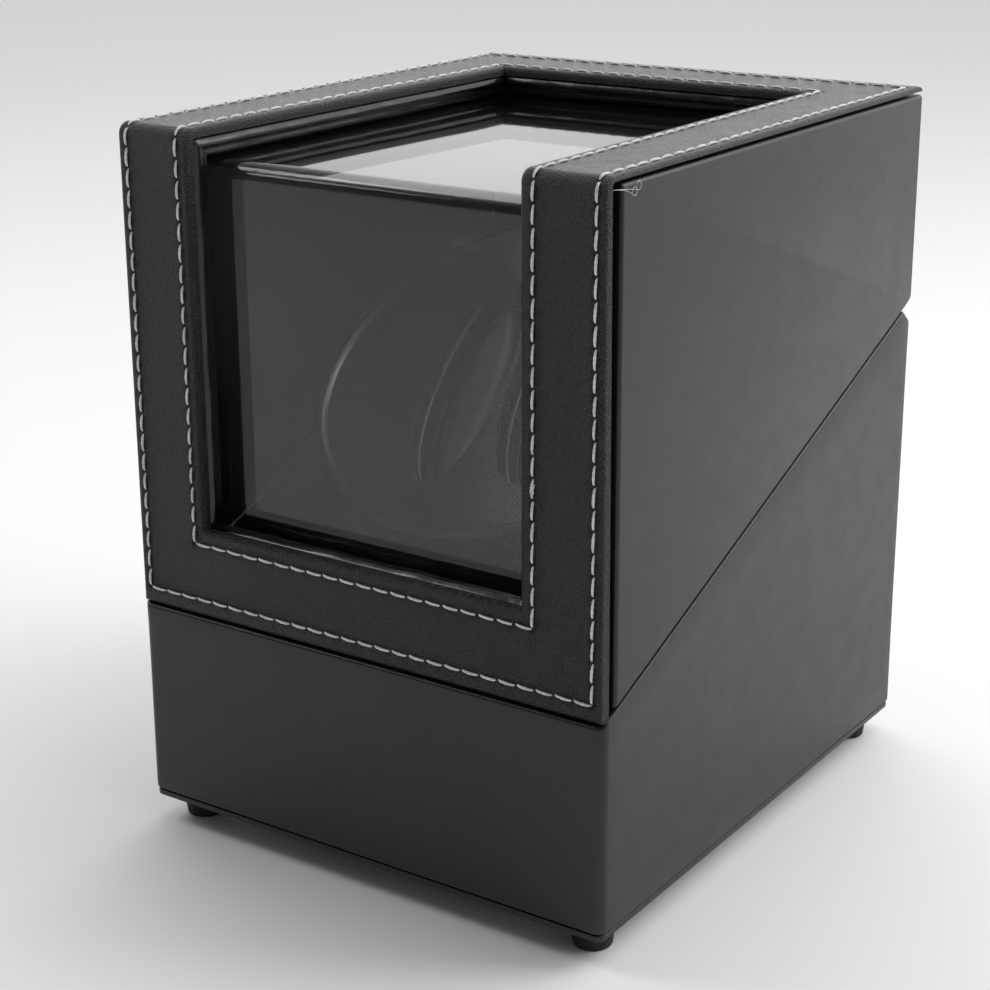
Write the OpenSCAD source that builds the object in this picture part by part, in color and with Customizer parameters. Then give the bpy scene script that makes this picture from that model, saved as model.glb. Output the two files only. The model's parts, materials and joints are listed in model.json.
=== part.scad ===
// Watch winder box: a leather-covered case whose windowed lid opens along a slanted
// parting line, over a tilted motor-driven rotor that carries two watch cushions.
// X runs to the right, Y to the back and Z up. The origin is on the resting surface,
// under the middle of the case.

/* [Case] */
// Width of the case
case_w = 160; // [156:1:170]
// Depth of the case
case_d = 184; // [184:1:192]
// Height of the case without its feet
case_h = 205; // [203:1:215]
// Thickness of the covered boards
board_t = 5; // [4:0.5:5]
// Height of each foot
foot_h = 8; // [6:1:10]

/* [Parting line] */
// Height of the base's front above its underside
front_split_h = 63; // [60:1:64]
// Slope of the parting plane between lid and base
parting_angle = 22.4; // [22:0.1:23]
// Gap between lid and base along the parting plane
parting_gap = 0.8; // [0.6:0.1:1]

/* [Window] */
// Width of the window opening
window_w = 108; // [100:1:112]
// Height of the window's lower edge above the base's underside
window_sill_h = 90; // [88:1:94]
// Width of the band behind the top opening
window_back_w = 30; // [28:1:34]
// Depth of the acrylic sheet behind the outer face of the band
window_recess = 9.6; // [9:0.1:10]
// Thickness of the acrylic sheet
acrylic_t = 2.4; // [2:0.2:3]
// Outer bend radius of the acrylic sheet
acrylic_bend_r = 5; // [4:0.5:6]

/* [Rotor] */
// Radius of the rotor's rim
rotor_r = 62.5; // [60:0.5:63]
// Tilt of the rotor out of the horizontal
rotor_tilt = 35; // [34:0.5:36]
// Distance of the rotor's centre behind the middle of the case
rotor_y = -16; // [-18:1:-15]
// Height of the rotor's centre above the base's underside
rotor_h = 128.8; // [128:0.2:131]
// Depth of a watch well below the rim
well_depth = 19.5; // [18:0.5:20]
// Width of a watch well at its mouth
well_w = 25.6; // [24:0.2:26]
// Length of a watch well at its mouth
well_l = 82; // [76:1:84]
// Turn of the wells about the rotor's axis
well_turn = 11; // [0:1:20]

/* [Drive] */
// Radius of the rotor's shaft
shaft_r = 3; // [2.5:0.5:3]
// Radius of the motor's housing
motor_r = 12.5; // [11:0.5:13]
// Length of the motor's housing
motor_l = 34; // [28:1:36]

/* [Hidden] */
$fn = 64;

// Colours of the materials
leather = [0.09, 0.09, 0.10];
satin_lining = [0.03, 0.03, 0.035];
lining_board = [0.07, 0.07, 0.08];
rubber_black = [0.05, 0.05, 0.05];
steel = [0.72, 0.73, 0.75];
brass_tone = [0.78, 0.62, 0.32];
black_plastic = [0.06, 0.06, 0.065];
white_plastic = [0.86, 0.86, 0.83];
board_green = [0.05, 0.30, 0.16];
clear_tone = [0.75, 0.80, 0.84, 0.35];
wire_red = [0.55, 0.08, 0.06];

// Case planes
half_w = case_w / 2;
half_d = case_d / 2;
case_z0 = foot_h;
case_z1 = foot_h + case_h;
inner_x = half_w - board_t;
inner_y = half_d - board_t;
fit_gap = 0.2;
floor_rim_t = 1.8;
floor_t = 5;
wall_z0 = case_z0 + floor_rim_t + fit_gap;
floor_z1 = case_z0 + floor_t;
edge_r = 3;

// Parting plane between the base and the lid
split_z = case_z0 + front_split_h;
function parting_z(y) = split_z + (y + half_d) * tan(parting_angle);

// Hinge: the barrel lies in a notch along the top of the base's back edge
hinge_y = half_d - 2.2;
hinge_z = parting_z(half_d) - 3.45;
hinge_r = 1.8;
notch_depth = 6.2;
notch_drop = 4.5;
notch_rise = 0.6;
hinge_pin_r = 0.9;
hinge_bore_r = 0.95;
hinge_x = 50;
leaf_w = 28;
leaf_t = 1;
leaf_h = 20;
leaf_y = hinge_y + hinge_r - leaf_t;
leaf_edge = 4;
base_leaf_z0 = hinge_z - leaf_h;
lid_leaf_z1 = hinge_z + leaf_h;
knuckle_w = 9;
hinge_screw_r = 1;
hinge_screw_x = 8;
hinge_screw_edge = 6;
hinge_head_r = 1.8;
hinge_head_t = leaf_t - 0.4;
cross_half = 1.1;
cross_w = 0.5;
cross_deep = 0.35;

// Stitched band of the lid
cover_t = 1;
band_r = 3.5;
cover_x = half_w - 0.7;
flange_y = -half_d + 2.6;
side_panel_y0 = -half_d + board_t + 0.8;
side_panel_y1 = half_d - 1;
side_panel_z1 = case_z1 - 2.3;
lining_t = 2.5;
frame_x = window_w / 2 + lining_t;
frame_y = -half_d + window_recess;
frame_z = case_z1 - window_recess;
sill_z = case_z0 + window_sill_h;
window_back_y = half_d - window_back_w;
rail_back_y = window_back_y + lining_t;
band_x = inner_x - fit_gap;
lid_back_y0 = half_d - board_t - 0.5;
lid_back_y1 = half_d - 0.5;
lid_back_z0 = hinge_z + hinge_r + 0.6;
lid_side_foot_y = half_d - 4.1;
acrylic_x = band_x - 3;

// Heights along the rotor's axis, measured from the rim plane
rotor_z = case_z0 + rotor_h;
deck_w = -55;
deck_t = 4;
hub_r = 9;
hub_flange_r = 16;
hub_flange_t = 1.6;
dish_t = 2.5;
dish_drop = 1.5;
rim_bead_r = 2;
skirt_l = 12;
well_wall = 1.4;
well_x = well_w / 2 + 1.5;
well_step = 1.5;
well_step_depths = [6, 11];
bush_flange_t = 2;
bush_r = 5.5;
running_gap = 0.05;
output_w = -68;
idler_small_w = -69;
idler_large_w = -74;
plate_w = -79;
plate_t = 2;
gear_t = 5;
large_gear_t = 4;

// Gear train, which turns the rotor 16 times slower than the motor
gear_module = 0.8;
output_teeth = 60;
idler_small_teeth = 15;
idler_large_teeth = 48;
pinion_teeth = 12;
tooth_backlash = 0.11;
tooth_root = 1.2 * gear_module;
tooth_tip = 0.9 * gear_module;

// Gear positions in the plane of the rotor
idler_distance = gear_module * (output_teeth + idler_small_teeth) / 2;
motor_distance = gear_module * (idler_large_teeth + pinion_teeth) / 2;
idler_pos = [0, -idler_distance];
motor_pos = [-motor_distance, -idler_distance];
axle_r = 1.5;
motor_shaft_r = 1;
spacer_points = [[-38, 26], [26, 26], [26, -46], [-38, -46]];
spacer_r = 3;
plate_screw_r = 1.5;
plate_head_r = 2.7;
plate_head_t = 1.8;
motor_boss_r = 3.9;
motor_screw_r = 1;
motor_screw_offset = 8;

// Controls on the back of the case
control_z = case_z0 + 32;
control_w = 76;
control_h = 28;
control_y = inner_y;
control_plate_t = 2;
jack_x = -25;
rocker_x = 0;
knob_x = 25;
rocker_rest_angle = -8;
rocker_pivot_y = control_y - 2.5;

jack_r = 4;
jack_bore_r = 2.8;
jack_depth = 9.5;
rocker_half_w = 9.4;
rocker_pin_r = 1;
knob_shaft_r = 2;

// Feet, screws, cleats and magnets
foot_x = 70;
foot_y = 80;
foot_top_r = 6.5;
foot_bottom_r = 5.6;
foot_edge_r = 0.8;
foot_screw_r = 1.5;
foot_head_r = 2.5;
foot_head_z = 2;
foot_head_t = 2;
deck_screw_x = 70;
deck_screw_v = [-95, 60];
deck_head_r = 2.8;
deck_head_t = 1.4;
cleat_w = 8;
cleat_v = [-112, 78];
magnet_x = 62;
magnet_size = [10, 2.4, 5];
magnet_cover_t = 1.4;
base_magnet_z = split_z - 6.5;
lid_magnet_z = split_z + 2.6;

// Control board, on four posts above the floor
board_low = [10, 40, 20];
board_size = [52, 36, 1.6];
board_post_inset = 4;
board_post_r = 2.4;
board_peg_r = 1.2;

// Wires inside the base, from the control board to the motor, the socket and the switches
wire_r = 0.9;
motor_wire_route = [[11, 55, 27], [6, 56, 29], [-2, 54, 30], [-10, 48, 28], [-17, 41, 24],
  [-22, 35, 21], [-24, 29, 21]];
jack_wire_route = [[11, 58, 27], [4, 61, 29], [-6, 64, 32], [-16, 67, 36], [-22, 69, 39], [-25, 72, 40]];
rocker_wire_route = [[14, 73, 23], [9, 75, 26], [4, 75, 31], [1, 75, 36], [0, 77, 39]];
knob_wire_route = [[32, 70, 23], [30, 70, 27], [28, 70, 32], [26, 71, 37], [25, 74, 40]];

// ---- Helpers ----

// Extrudes an outline drawn in Y and Z along X, centred on the middle of the case
module across(width) {
  rotate([90, 0, 90])
    linear_extrude(width, center = true)
      children();
}

// A box between two corners
module block(low, high) {
  translate(low)
    cube(high - low);
}

// Moves into the frame of the rotor: X right, Y up the slope, Z out of the rim plane
module on_rotor() {
  translate([0, rotor_y, rotor_z])
    rotate([rotor_tilt, 0, 0])
      children();
}

// A round bar along Y from y0 to y1
module bar_y(x, z, r, y0, y1) {
  translate([x, y1, z])
    rotate([90, 0, 0])
      cylinder(h = y1 - y0, r = r);
}

// A round bar along X from x0 to x1
module bar_x(y, z, r, x0, x1) {
  translate([x0, y, z])
    rotate([0, 90, 0])
      cylinder(h = x1 - x0, r = r);
}

// Points along a round stretch of an outline
function arc(centre, r, from, to, steps = 8) =
  [for (i = [0:steps]) let (a = from + (to - from) * i / steps) centre + r * [cos(a), sin(a)]];

function oval(a, b, steps = 48) =
  [for (i = [0:steps - 1]) [a * cos(360 * i / steps), b * sin(360 * i / steps)]];

// Outline of one tooth: root, tip, tip, root. Flanks are straight, at 20 degrees
function tooth(teeth, index) =
  let (pitch_r = gear_module * teeth / 2,
       root_r = pitch_r - tooth_root,
       tip_r = pitch_r + tooth_tip,
       half = PI * gear_module / 4 - tooth_backlash,
       root_half = half + tooth_root * tan(20),
       tip_half = half - tooth_tip * tan(20),
       root_a = root_half / root_r * 180 / PI,
       tip_a = tip_half / tip_r * 180 / PI,
       a = 360 * index / teeth)
  [root_r * [cos(a - root_a), sin(a - root_a)], tip_r * [cos(a - tip_a), sin(a - tip_a)],
   tip_r * [cos(a + tip_a), sin(a + tip_a)], root_r * [cos(a + root_a), sin(a + root_a)]];

// A spur gear with one tooth centred on the direction given by phase
module gear(teeth, width, phase) {
  rotate(phase)
    linear_extrude(width)
      polygon([for (i = [0:teeth - 1]) each tooth(teeth, i)]);
}

// Ring of points round one point of a wire's route
function ring_at(points, i, r, sides) =
  let (before = points[max(i - 1, 0)],
       after = points[min(i + 1, len(points) - 1)],
       along = (after - before) / norm(after - before),
       side = cross(along, [0, 0, 1]),
       u = side / norm(side),
       v = cross(along, u))
  [for (k = [0:sides - 1]) points[i] + r * (cos(360 * k / sides) * u + sin(360 * k / sides) * v)];

// A round wire swept along its route
module wire(points, r, sides = 8) {
  rings = len(points);
  vertices = [for (i = [0:rings - 1]) each ring_at(points, i, r, sides)];
  walls = [for (i = [0:rings - 2], k = [0:sides - 1])
    [i * sides + k, i * sides + (k + 1) % sides, (i + 1) * sides + (k + 1) % sides, (i + 1) * sides + k]];
  start = [for (k = [sides - 1:-1:0]) k];
  finish = [for (k = [0:sides - 1]) (rings - 1) * sides + k];
  polyhedron(vertices, concat([start], walls, [finish]));
}

// ---- Base: covered boards ----

// Side view of the base, with the chamfer that makes room for the hinge barrel
module base_outline() {
  polygon([[-half_d, wall_z0], [half_d, wall_z0], [half_d, hinge_z - notch_drop],
    [half_d - notch_depth, hinge_z + notch_rise], [-half_d, split_z - parting_gap / 2]]);
}

// A board across the case, with its two outer upright edges rounded
module edge_board(y0, y1, outer_sign) {
  outer_y = outer_sign > 0 ? y1 : y0;
  inner_y_edge = outer_sign > 0 ? y0 : y1;
  c = outer_y - outer_sign * edge_r;
  right = arc([half_w - edge_r, c], edge_r, 0, 90 * outer_sign);
  left = arc([-half_w + edge_r, c], edge_r, 90 * outer_sign, 180 * outer_sign);
  linear_extrude(case_z1 - wall_z0)
    polygon(concat([[half_w, inner_y_edge]], right, left, [[-half_w, inner_y_edge]]));
}

module base_front_panel() {
  color(leather)
    difference() {
      intersection() {
        translate([0, 0, wall_z0])
          edge_board(-half_d, -inner_y, -1);
        across(case_w)
          base_outline();
      }
      magnet_pockets(base_magnet_z);
    }
}

module base_back_panel() {
  color(leather)
    difference() {
      intersection() {
        translate([0, 0, wall_z0])
          edge_board(inner_y, half_d, 1);
        across(case_w)
          base_outline();
      }
      block([-control_w / 2, inner_y - 1, control_z - control_h / 2],
        [control_w / 2, half_d + 1, control_z + control_h / 2]);
      for (x = [-hinge_x, hinge_x]) {
        block([x - leaf_w / 2 - fit_gap, leaf_y, base_leaf_z0 - fit_gap],
          [x + leaf_w / 2 + fit_gap, half_d + 1, case_z1]);
        hinge_screw_holes(x, base_leaf_z0 + hinge_screw_edge);
      }
    }
}

module base_side_panel(side) {
  intersection() {
    across(case_w)
      base_outline();
    translate([side > 0 ? inner_x : -half_w, -inner_y, 0])
      cube([board_t, 2 * inner_y, case_z1]);
  }
}

module base_left_panel() {
  color(leather)
    base_side_panel(-1);
}

module base_right_panel() {
  color(leather)
    base_side_panel(1);
}

// Plan of the case, inset all round, with its upright edges rounded
module case_plan(inset) {
  w = half_w - edge_r;
  d = half_d - edge_r;
  r = edge_r - inset;
  polygon(concat(arc([w, d], r, 0, 90), arc([-w, d], r, 90, 180), arc([-w, -d], r, 180, 270),
    arc([w, -d], r, 270, 360)));
}

// The floor board closes the walls from below with a rim as wide as the case
module base_floor() {
  rim_inset = 0.4;
  color(leather)
    difference() {
      union() {
        translate([0, 0, case_z0])
          linear_extrude(floor_rim_t)
            case_plan(rim_inset);
        block([-inner_x + fit_gap, -inner_y + fit_gap, case_z0],
          [inner_x - fit_gap, inner_y - fit_gap, floor_z1]);
      }
      at_feet()
        translate([0, 0, case_z0 - 1])
          cylinder(h = 5, r = foot_screw_r);
    }
}

// The inside of the case between its boards
module case_inside() {
  block([-inner_x + fit_gap, -inner_y + fit_gap, floor_z1], [inner_x - fit_gap, inner_y - fit_gap, case_z1]);
}

// Sloping inner floor under the rotor
module deck_panel() {
  color(lining_board)
    intersection() {
      case_inside();
      on_rotor()
        difference() {
          translate([-half_w, -case_d, deck_w - deck_t])
            cube([case_w, 2 * case_d, deck_t]);
          translate([0, 0, deck_w - deck_t - 1])
            cylinder(h = deck_t + 2, r = bush_r);
          for (p = spacer_points)
            translate([p[0], p[1], deck_w - deck_t - 1])
              cylinder(h = 3, r = plate_screw_r);
          at_deck_screws()
            translate([0, 0, deck_w - deck_t - 1])
              cylinder(h = deck_t + 2, r = plate_screw_r);
        }
    }
}

// A square strip under one edge of the deck
module deck_cleat(side) {
  inner_edge = inner_x - fit_gap - cleat_w;
  intersection() {
    case_inside();
    on_rotor()
      difference() {
        translate([side > 0 ? inner_edge : -inner_edge - cleat_w, cleat_v[0], deck_w - deck_t - cleat_w])
          cube([cleat_w, cleat_v[1] - cleat_v[0], cleat_w]);
        at_deck_screws()
          translate([0, 0, deck_w - deck_t - cleat_w + 1])
            cylinder(h = cleat_w, r = plate_screw_r);
      }
  }
}

module deck_cleat_left() {
  color(lining_board)
    deck_cleat(-1);
}

module deck_cleat_right() {
  color(lining_board)
    deck_cleat(1);
}

module at_deck_screws() {
  for (x = [-deck_screw_x, deck_screw_x], v = deck_screw_v)
    translate([x, v, 0])
      children();
}

module deck_screws() {
  color(steel)
    on_rotor()
      at_deck_screws() {
        translate([0, 0, deck_w - deck_t - 6])
          cylinder(h = deck_t + 6, r = plate_screw_r);
        translate([0, 0, deck_w])
          cylinder(h = deck_head_t, r = deck_head_r);
      }
}

// Bar magnets, or their pockets, just behind the front face
module magnet_pockets(z) {
  for (x = [-magnet_x, magnet_x])
    translate([x - magnet_size[0] / 2, -half_d + magnet_cover_t, z])
      cube(magnet_size);
}

module base_magnets() {
  color(steel)
    magnet_pockets(base_magnet_z);
}

// ---- Base: feet ----

module at_feet() {
  for (x = [-foot_x, foot_x], y = [-foot_y, foot_y])
    translate([x, y, 0])
      children();
}

// A tapered rubber foot with a rounded lower edge and a counterbored screw hole
module foot(x, y) {
  seat_r = foot_head_r + 0.2;
  seat_depth = foot_head_z + foot_head_t;
  color(rubber_black)
    translate([x, y, 0])
      difference() {
        rotate_extrude()
          polygon(concat([[0, 0]], arc([foot_bottom_r - foot_edge_r, foot_edge_r], foot_edge_r, -90, 0),
            [[foot_top_r, foot_h], [0, foot_h]]));
        translate([0, 0, -1])
          cylinder(h = seat_depth + 1, r = seat_r);
        cylinder(h = foot_h + 1, r = foot_screw_r + 0.1);
      }
}

module foot_front_left() {
  foot(-foot_x, -foot_y);
}

module foot_front_right() {
  foot(foot_x, -foot_y);
}

module foot_back_left() {
  foot(-foot_x, foot_y);
}

module foot_back_right() {
  foot(foot_x, foot_y);
}

module foot_screws() {
  color(steel)
    at_feet() {
      translate([0, 0, foot_head_z])
        cylinder(h = foot_head_t, r = foot_head_r);
      translate([0, 0, foot_head_z + foot_head_t])
        cylinder(h = foot_h - 0.2, r = foot_screw_r);
    }
}

// ---- Base: drive ----

module shaft_bush() {
  color(brass_tone)
    on_rotor()
      difference() {
        union() {
          translate([0, 0, deck_w - deck_t - 0.5])
            cylinder(h = deck_t + 0.5, r = bush_r);
          translate([0, 0, deck_w])
            cylinder(h = bush_flange_t, r = bush_r + 2.5);
        }
        translate([0, 0, deck_w - deck_t - 1])
          cylinder(h = deck_t + 4, r = shaft_r + running_gap);
      }
}

module motor_plate() {
  corner_r = 4;
  low = spacer_points[3] - [corner_r, corner_r];
  size = spacer_points[1] - spacer_points[3] + 2 * [corner_r, corner_r];
  color(steel)
    on_rotor()
      difference() {
        translate([low[0], low[1], plate_w])
          cube([size[0], size[1], plate_t]);
        translate([0, 0, plate_w - 1])
          cylinder(h = plate_t + 2, r = shaft_r + running_gap);
        translate([idler_pos[0], idler_pos[1], plate_w - 1])
          cylinder(h = plate_t + 2, r = axle_r);
        translate([motor_pos[0], motor_pos[1], plate_w - 1])
          cylinder(h = plate_t + 2, r = motor_boss_r);
        for (p = spacer_points)
          translate([p[0], p[1], plate_w - 1])
            cylinder(h = plate_t + 2, r = plate_screw_r);
        at_motor_screws()
          translate([0, 0, plate_w - 1])
            cylinder(h = plate_t + 2, r = motor_screw_r);
      }
}

module plate_spacers() {
  color(steel)
    on_rotor()
      for (p = spacer_points)
        translate([p[0], p[1], plate_w + plate_t])
          difference() {
            cylinder(h = deck_w - deck_t - plate_w - plate_t, r = spacer_r);
            translate([0, 0, -1])
              cylinder(h = deck_w - deck_t - plate_w + 2, r = plate_screw_r);
          }
}

module plate_screws() {
  color(steel)
    on_rotor()
      for (p = spacer_points)
        translate([p[0], p[1], 0]) {
          translate([0, 0, plate_w])
            cylinder(h = deck_w - deck_t - plate_w + 2, r = plate_screw_r);
          translate([0, 0, plate_w - plate_head_t])
            cylinder(h = plate_head_t, r = plate_head_r);
        }
}

module idler_axle() {
  color(steel)
    on_rotor()
      translate([idler_pos[0], idler_pos[1], plate_w])
        cylinder(h = deck_w - deck_t - plate_w, r = axle_r);
}

module at_motor_screws() {
  for (side = [-1, 1])
    translate([motor_pos[0], motor_pos[1] + side * motor_screw_offset, 0])
      children();
}

module motor_can() {
  end_cap_t = 3;
  color(steel)
    on_rotor()
      translate([motor_pos[0], motor_pos[1], 0])
        difference() {
          union() {
            translate([0, 0, plate_w - motor_l])
              cylinder(h = motor_l, r = motor_r);
            translate([0, 0, plate_w])
              cylinder(h = plate_t, r = motor_boss_r);
            translate([0, 0, plate_w - motor_l - 1])
              cylinder(h = 2, r = motor_r - end_cap_t);
          }
          translate([0, 0, plate_w - 16])
            cylinder(h = 16 + plate_t + 1, r = motor_shaft_r + running_gap);
          for (side = [-1, 1])
            translate([0, side * motor_screw_offset, plate_w - 4])
              cylinder(h = 5, r = motor_screw_r);
        }
}

module motor_screws() {
  color(steel)
    on_rotor()
      at_motor_screws() {
        translate([0, 0, plate_w - 3])
          cylinder(h = 3 + plate_t, r = motor_screw_r);
        translate([0, 0, plate_w + plate_t])
          cylinder(h = 1.2, r = 1.9);
      }
}

// ---- Base: electronics and controls ----

// Circuit board with its chip, capacitor, relay and wire header
module control_board() {
  chip_size = [10, 8, 1.6];
  capacitor_h = 8;
  capacitor_r = 3.2;
  relay_size = [6, 12, 5];
  header_size = [4, 10, 4];
  color(board_green) {
    difference() {
      translate(board_low)
        cube(board_size);
      at_board_posts()
        translate([0, 0, board_low[2] - 1])
          cylinder(h = 4, r = board_peg_r);
    }
    translate(board_low + [0, 0, board_size[2]]) {
      translate([12, 10, 0])
        cube(chip_size);
      translate([30, 10, 0])
        cylinder(h = capacitor_h, r = capacitor_r);
      translate([38, 12, 0])
        cube(relay_size);
      translate([2, 12, 0])
        cube(header_size);
    }
  }
}

module at_board_posts() {
  for (x = [board_post_inset, board_size[0] - board_post_inset],
       y = [board_post_inset, board_size[1] - board_post_inset])
    translate([board_low[0] + x, board_low[1] + y, 0])
      children();
}

module board_posts() {
  color(white_plastic)
    at_board_posts() {
      translate([0, 0, floor_z1])
        cylinder(h = board_low[2] - floor_z1, r = board_post_r);
      translate([0, 0, board_low[2]])
        cylinder(h = board_size[2] + 1, r = board_peg_r);
    }
}

// Plate behind the opening in the back board, which carries the three controls
module control_plate() {
  rim = 4;
  color(black_plastic)
    difference() {
      block([-control_w / 2 - rim, control_y - control_plate_t, control_z - control_h / 2 - rim],
        [control_w / 2 + rim, control_y, control_z + control_h / 2 + rim]);
      bar_y(jack_x, control_z, jack_r, 0, half_d);
      bar_y(knob_x, control_z, 2 * knob_shaft_r, 0, half_d);
      block([rocker_x - rocker_half_w - 1.1, control_y - 9, control_z - 7],
        [rocker_x + rocker_half_w + 1.1, half_d, control_z + 7]);
    }
}

// Round socket with a centre contact for a low-voltage plug
module dc_jack() {
  color(black_plastic)
    difference() {
      union() {
        bar_y(jack_x, control_z, jack_r, control_y - 13, control_y);
        bar_y(jack_x, control_z, 5.6, control_y, control_y + 1.6);
        bar_y(jack_x, control_z, 5.4, control_y - 6, control_y - control_plate_t);
      }
      difference() {
        bar_y(jack_x, control_z, jack_bore_r, control_y - jack_depth, half_d);
        bar_y(jack_x, control_z, 1, control_y - jack_depth - 0.5, control_y);
      }
    }
}

module rocker_frame() {
  color(black_plastic)
    difference() {
      union() {
        block([rocker_x - rocker_half_w - 1, control_y - 9, control_z - 6.9],
          [rocker_x + rocker_half_w + 1, control_y, control_z + 6.9]);
        block([rocker_x - rocker_half_w - 2.4, control_y, control_z - 8],
          [rocker_x + rocker_half_w + 2.4, control_y + 1.2, control_z + 8]);
      }
      block([rocker_x - rocker_half_w, control_y - 7.5, control_z - 5.7],
        [rocker_x + rocker_half_w, half_d, control_z + 5.7]);
      translate([rocker_x, rocker_pivot_y, control_z - 6.6])
        cylinder(h = 13.2, r = rocker_pin_r + running_gap);
    }
}

// The rocker tips about an upright pin; it is drawn in its off position
module power_rocker() {
  color(black_plastic)
    translate([rocker_x, rocker_pivot_y, control_z])
      rotate([0, 0, rocker_rest_angle]) {
        translate([0, 0, -5.4])
          linear_extrude(10.8)
            polygon([[-8.4, 4.4], [0, 3.4], [8.4, 4.4], [8.2, 0.6], [3, -2.6], [-3, -2.6], [-8.2, 0.6]]);
        translate([0, 0, -6.4])
          cylinder(h = 12.8, r = rocker_pin_r);
      }
}

module mode_switch() {
  color(black_plastic)
    difference() {
      union() {
        block([knob_x - 8, control_y - 12, control_z - 8],
          [knob_x + 8, control_y - control_plate_t, control_z + 8]);
        bar_y(knob_x, control_z, 2 * knob_shaft_r, control_y - control_plate_t, control_y + 0.8);
      }
      bar_y(knob_x, control_z, knob_shaft_r + running_gap, control_y - 10, half_d);
    }
}

// A low knob with a fluted edge and a raised pointer bar
module mode_knob() {
  knob_r = 8;
  knob_t = 2.6;
  flutes = 24;
  flute_depth = 0.5;
  pointer_w = 1.6;
  pointer_rise = 0.8;
  front = control_y + 1.2;
  color(black_plastic) {
    bar_y(knob_x, control_z, knob_shaft_r, control_y - 9, front + 1);
    translate([knob_x, front, control_z])
      rotate([-90, 0, 0]) {
        linear_extrude(knob_t)
          polygon([for (i = [0:2 * flutes - 1])
            let (a = 180 * i / flutes, r = knob_r - flute_depth * (i % 2))
            r * [cos(a), sin(a)]]);
        translate([-pointer_w / 2, -knob_r + 1, 0])
          cube([pointer_w, 2 * knob_r - 2, knob_t + pointer_rise]);
      }
  }
}

module wiring() {
  color(wire_red) {
    wire(motor_wire_route, wire_r);
    wire(jack_wire_route, wire_r);
    wire(rocker_wire_route, wire_r);
    wire(knob_wire_route, wire_r);
  }
}

// ---- Hinges ----

// Screw holes through a leaf and into the board behind it
module hinge_screw_holes(x, z) {
  for (side = [-1, 1])
    bar_y(x + side * hinge_screw_x, z, hinge_screw_r, half_d - 5, half_d + 1);
}

// Countersunk seats for the hinge screws' heads
module hinge_screw_seats(x, z) {
  for (side = [-1, 1])
    bar_y(x + side * hinge_screw_x, z, hinge_head_r + 0.1, leaf_y + leaf_t - hinge_head_t, half_d + 1);
}

// The base's leaf carries the two outer knuckles
module base_hinge_leaf(x) {
  knuckle_gap = leaf_w / 2 - knuckle_w;
  color(steel)
    difference() {
      union() {
        block([x - leaf_w / 2, leaf_y, base_leaf_z0], [x + leaf_w / 2, leaf_y + leaf_t, hinge_z - leaf_edge]);
        for (x0 = [x - leaf_w / 2, x + knuckle_gap + fit_gap]) {
          block([x0, leaf_y, hinge_z - leaf_edge - 1], [x0 + knuckle_w - fit_gap, leaf_y + leaf_t, hinge_z]);
          bar_x(hinge_y, hinge_z, hinge_r, x0, x0 + knuckle_w - fit_gap);
        }
      }
      bar_x(hinge_y, hinge_z, hinge_bore_r, x - leaf_w, x + leaf_w);
      hinge_screw_holes(x, base_leaf_z0 + hinge_screw_edge);
      hinge_screw_seats(x, base_leaf_z0 + hinge_screw_edge);
    }
}

module base_hinge_leaf_left() {
  base_hinge_leaf(-hinge_x);
}

module base_hinge_leaf_right() {
  base_hinge_leaf(hinge_x);
}

// The lid's leaf carries the middle knuckle
module lid_hinge_leaf(x) {
  half_knuckle = leaf_w / 2 - knuckle_w;
  color(steel)
    difference() {
      union() {
        block([x - leaf_w / 2, leaf_y, hinge_z + leaf_edge], [x + leaf_w / 2, leaf_y + leaf_t, lid_leaf_z1]);
        block([x - half_knuckle, leaf_y, hinge_z],
          [x + half_knuckle, leaf_y + leaf_t, hinge_z + leaf_edge + 1]);
        bar_x(hinge_y, hinge_z, hinge_r, x - half_knuckle, x + half_knuckle);
      }
      bar_x(hinge_y, hinge_z, hinge_bore_r, x - leaf_w, x + leaf_w);
      hinge_screw_holes(x, lid_leaf_z1 - hinge_screw_edge);
      hinge_screw_seats(x, lid_leaf_z1 - hinge_screw_edge);
    }
}

module lid_hinge_leaf_left() {
  lid_hinge_leaf(-hinge_x);
}

module lid_hinge_leaf_right() {
  lid_hinge_leaf(hinge_x);
}

module hinge_pins() {
  color(steel)
    for (x = [-hinge_x, hinge_x])
      bar_x(hinge_y, hinge_z, hinge_pin_r, x - leaf_w / 2, x + leaf_w / 2);
}

// Cross-shaped recess for the driver, in a screw head that faces the back
module cross_recess(x, z) {
  y0 = leaf_y + leaf_t - cross_deep;
  block([x - cross_half, y0, z - cross_w / 2], [x + cross_half, half_d + 1, z + cross_w / 2]);
  block([x - cross_w / 2, y0, z - cross_half], [x + cross_w / 2, half_d + 1, z + cross_half]);
}

module hinge_screws(z) {
  color(steel)
    for (x = [-hinge_x, hinge_x], side = [-1, 1])
      difference() {
        union() {
          bar_y(x + side * hinge_screw_x, z, hinge_screw_r, half_d - 5, leaf_y + leaf_t - hinge_head_t);
          bar_y(x + side * hinge_screw_x, z, hinge_head_r, leaf_y + leaf_t - hinge_head_t, leaf_y + leaf_t);
        }
        cross_recess(x + side * hinge_screw_x, z);
      }
}

module base_hinge_screws() {
  hinge_screws(base_leaf_z0 + hinge_screw_edge);
}

module lid_hinge_screws() {
  hinge_screws(lid_leaf_z1 - hinge_screw_edge);
}

// ---- Lid ----

// Everything above the parting plane
module above_parting() {
  y0 = -half_d - 1;
  y1 = half_d + 1;
  across(case_w + 2)
    polygon([[y0, parting_z(y0) + parting_gap / 2], [y1, parting_z(y1) + parting_gap / 2],
      [y1, case_z1 + 1], [y0, case_z1 + 1]]);
}

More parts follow.
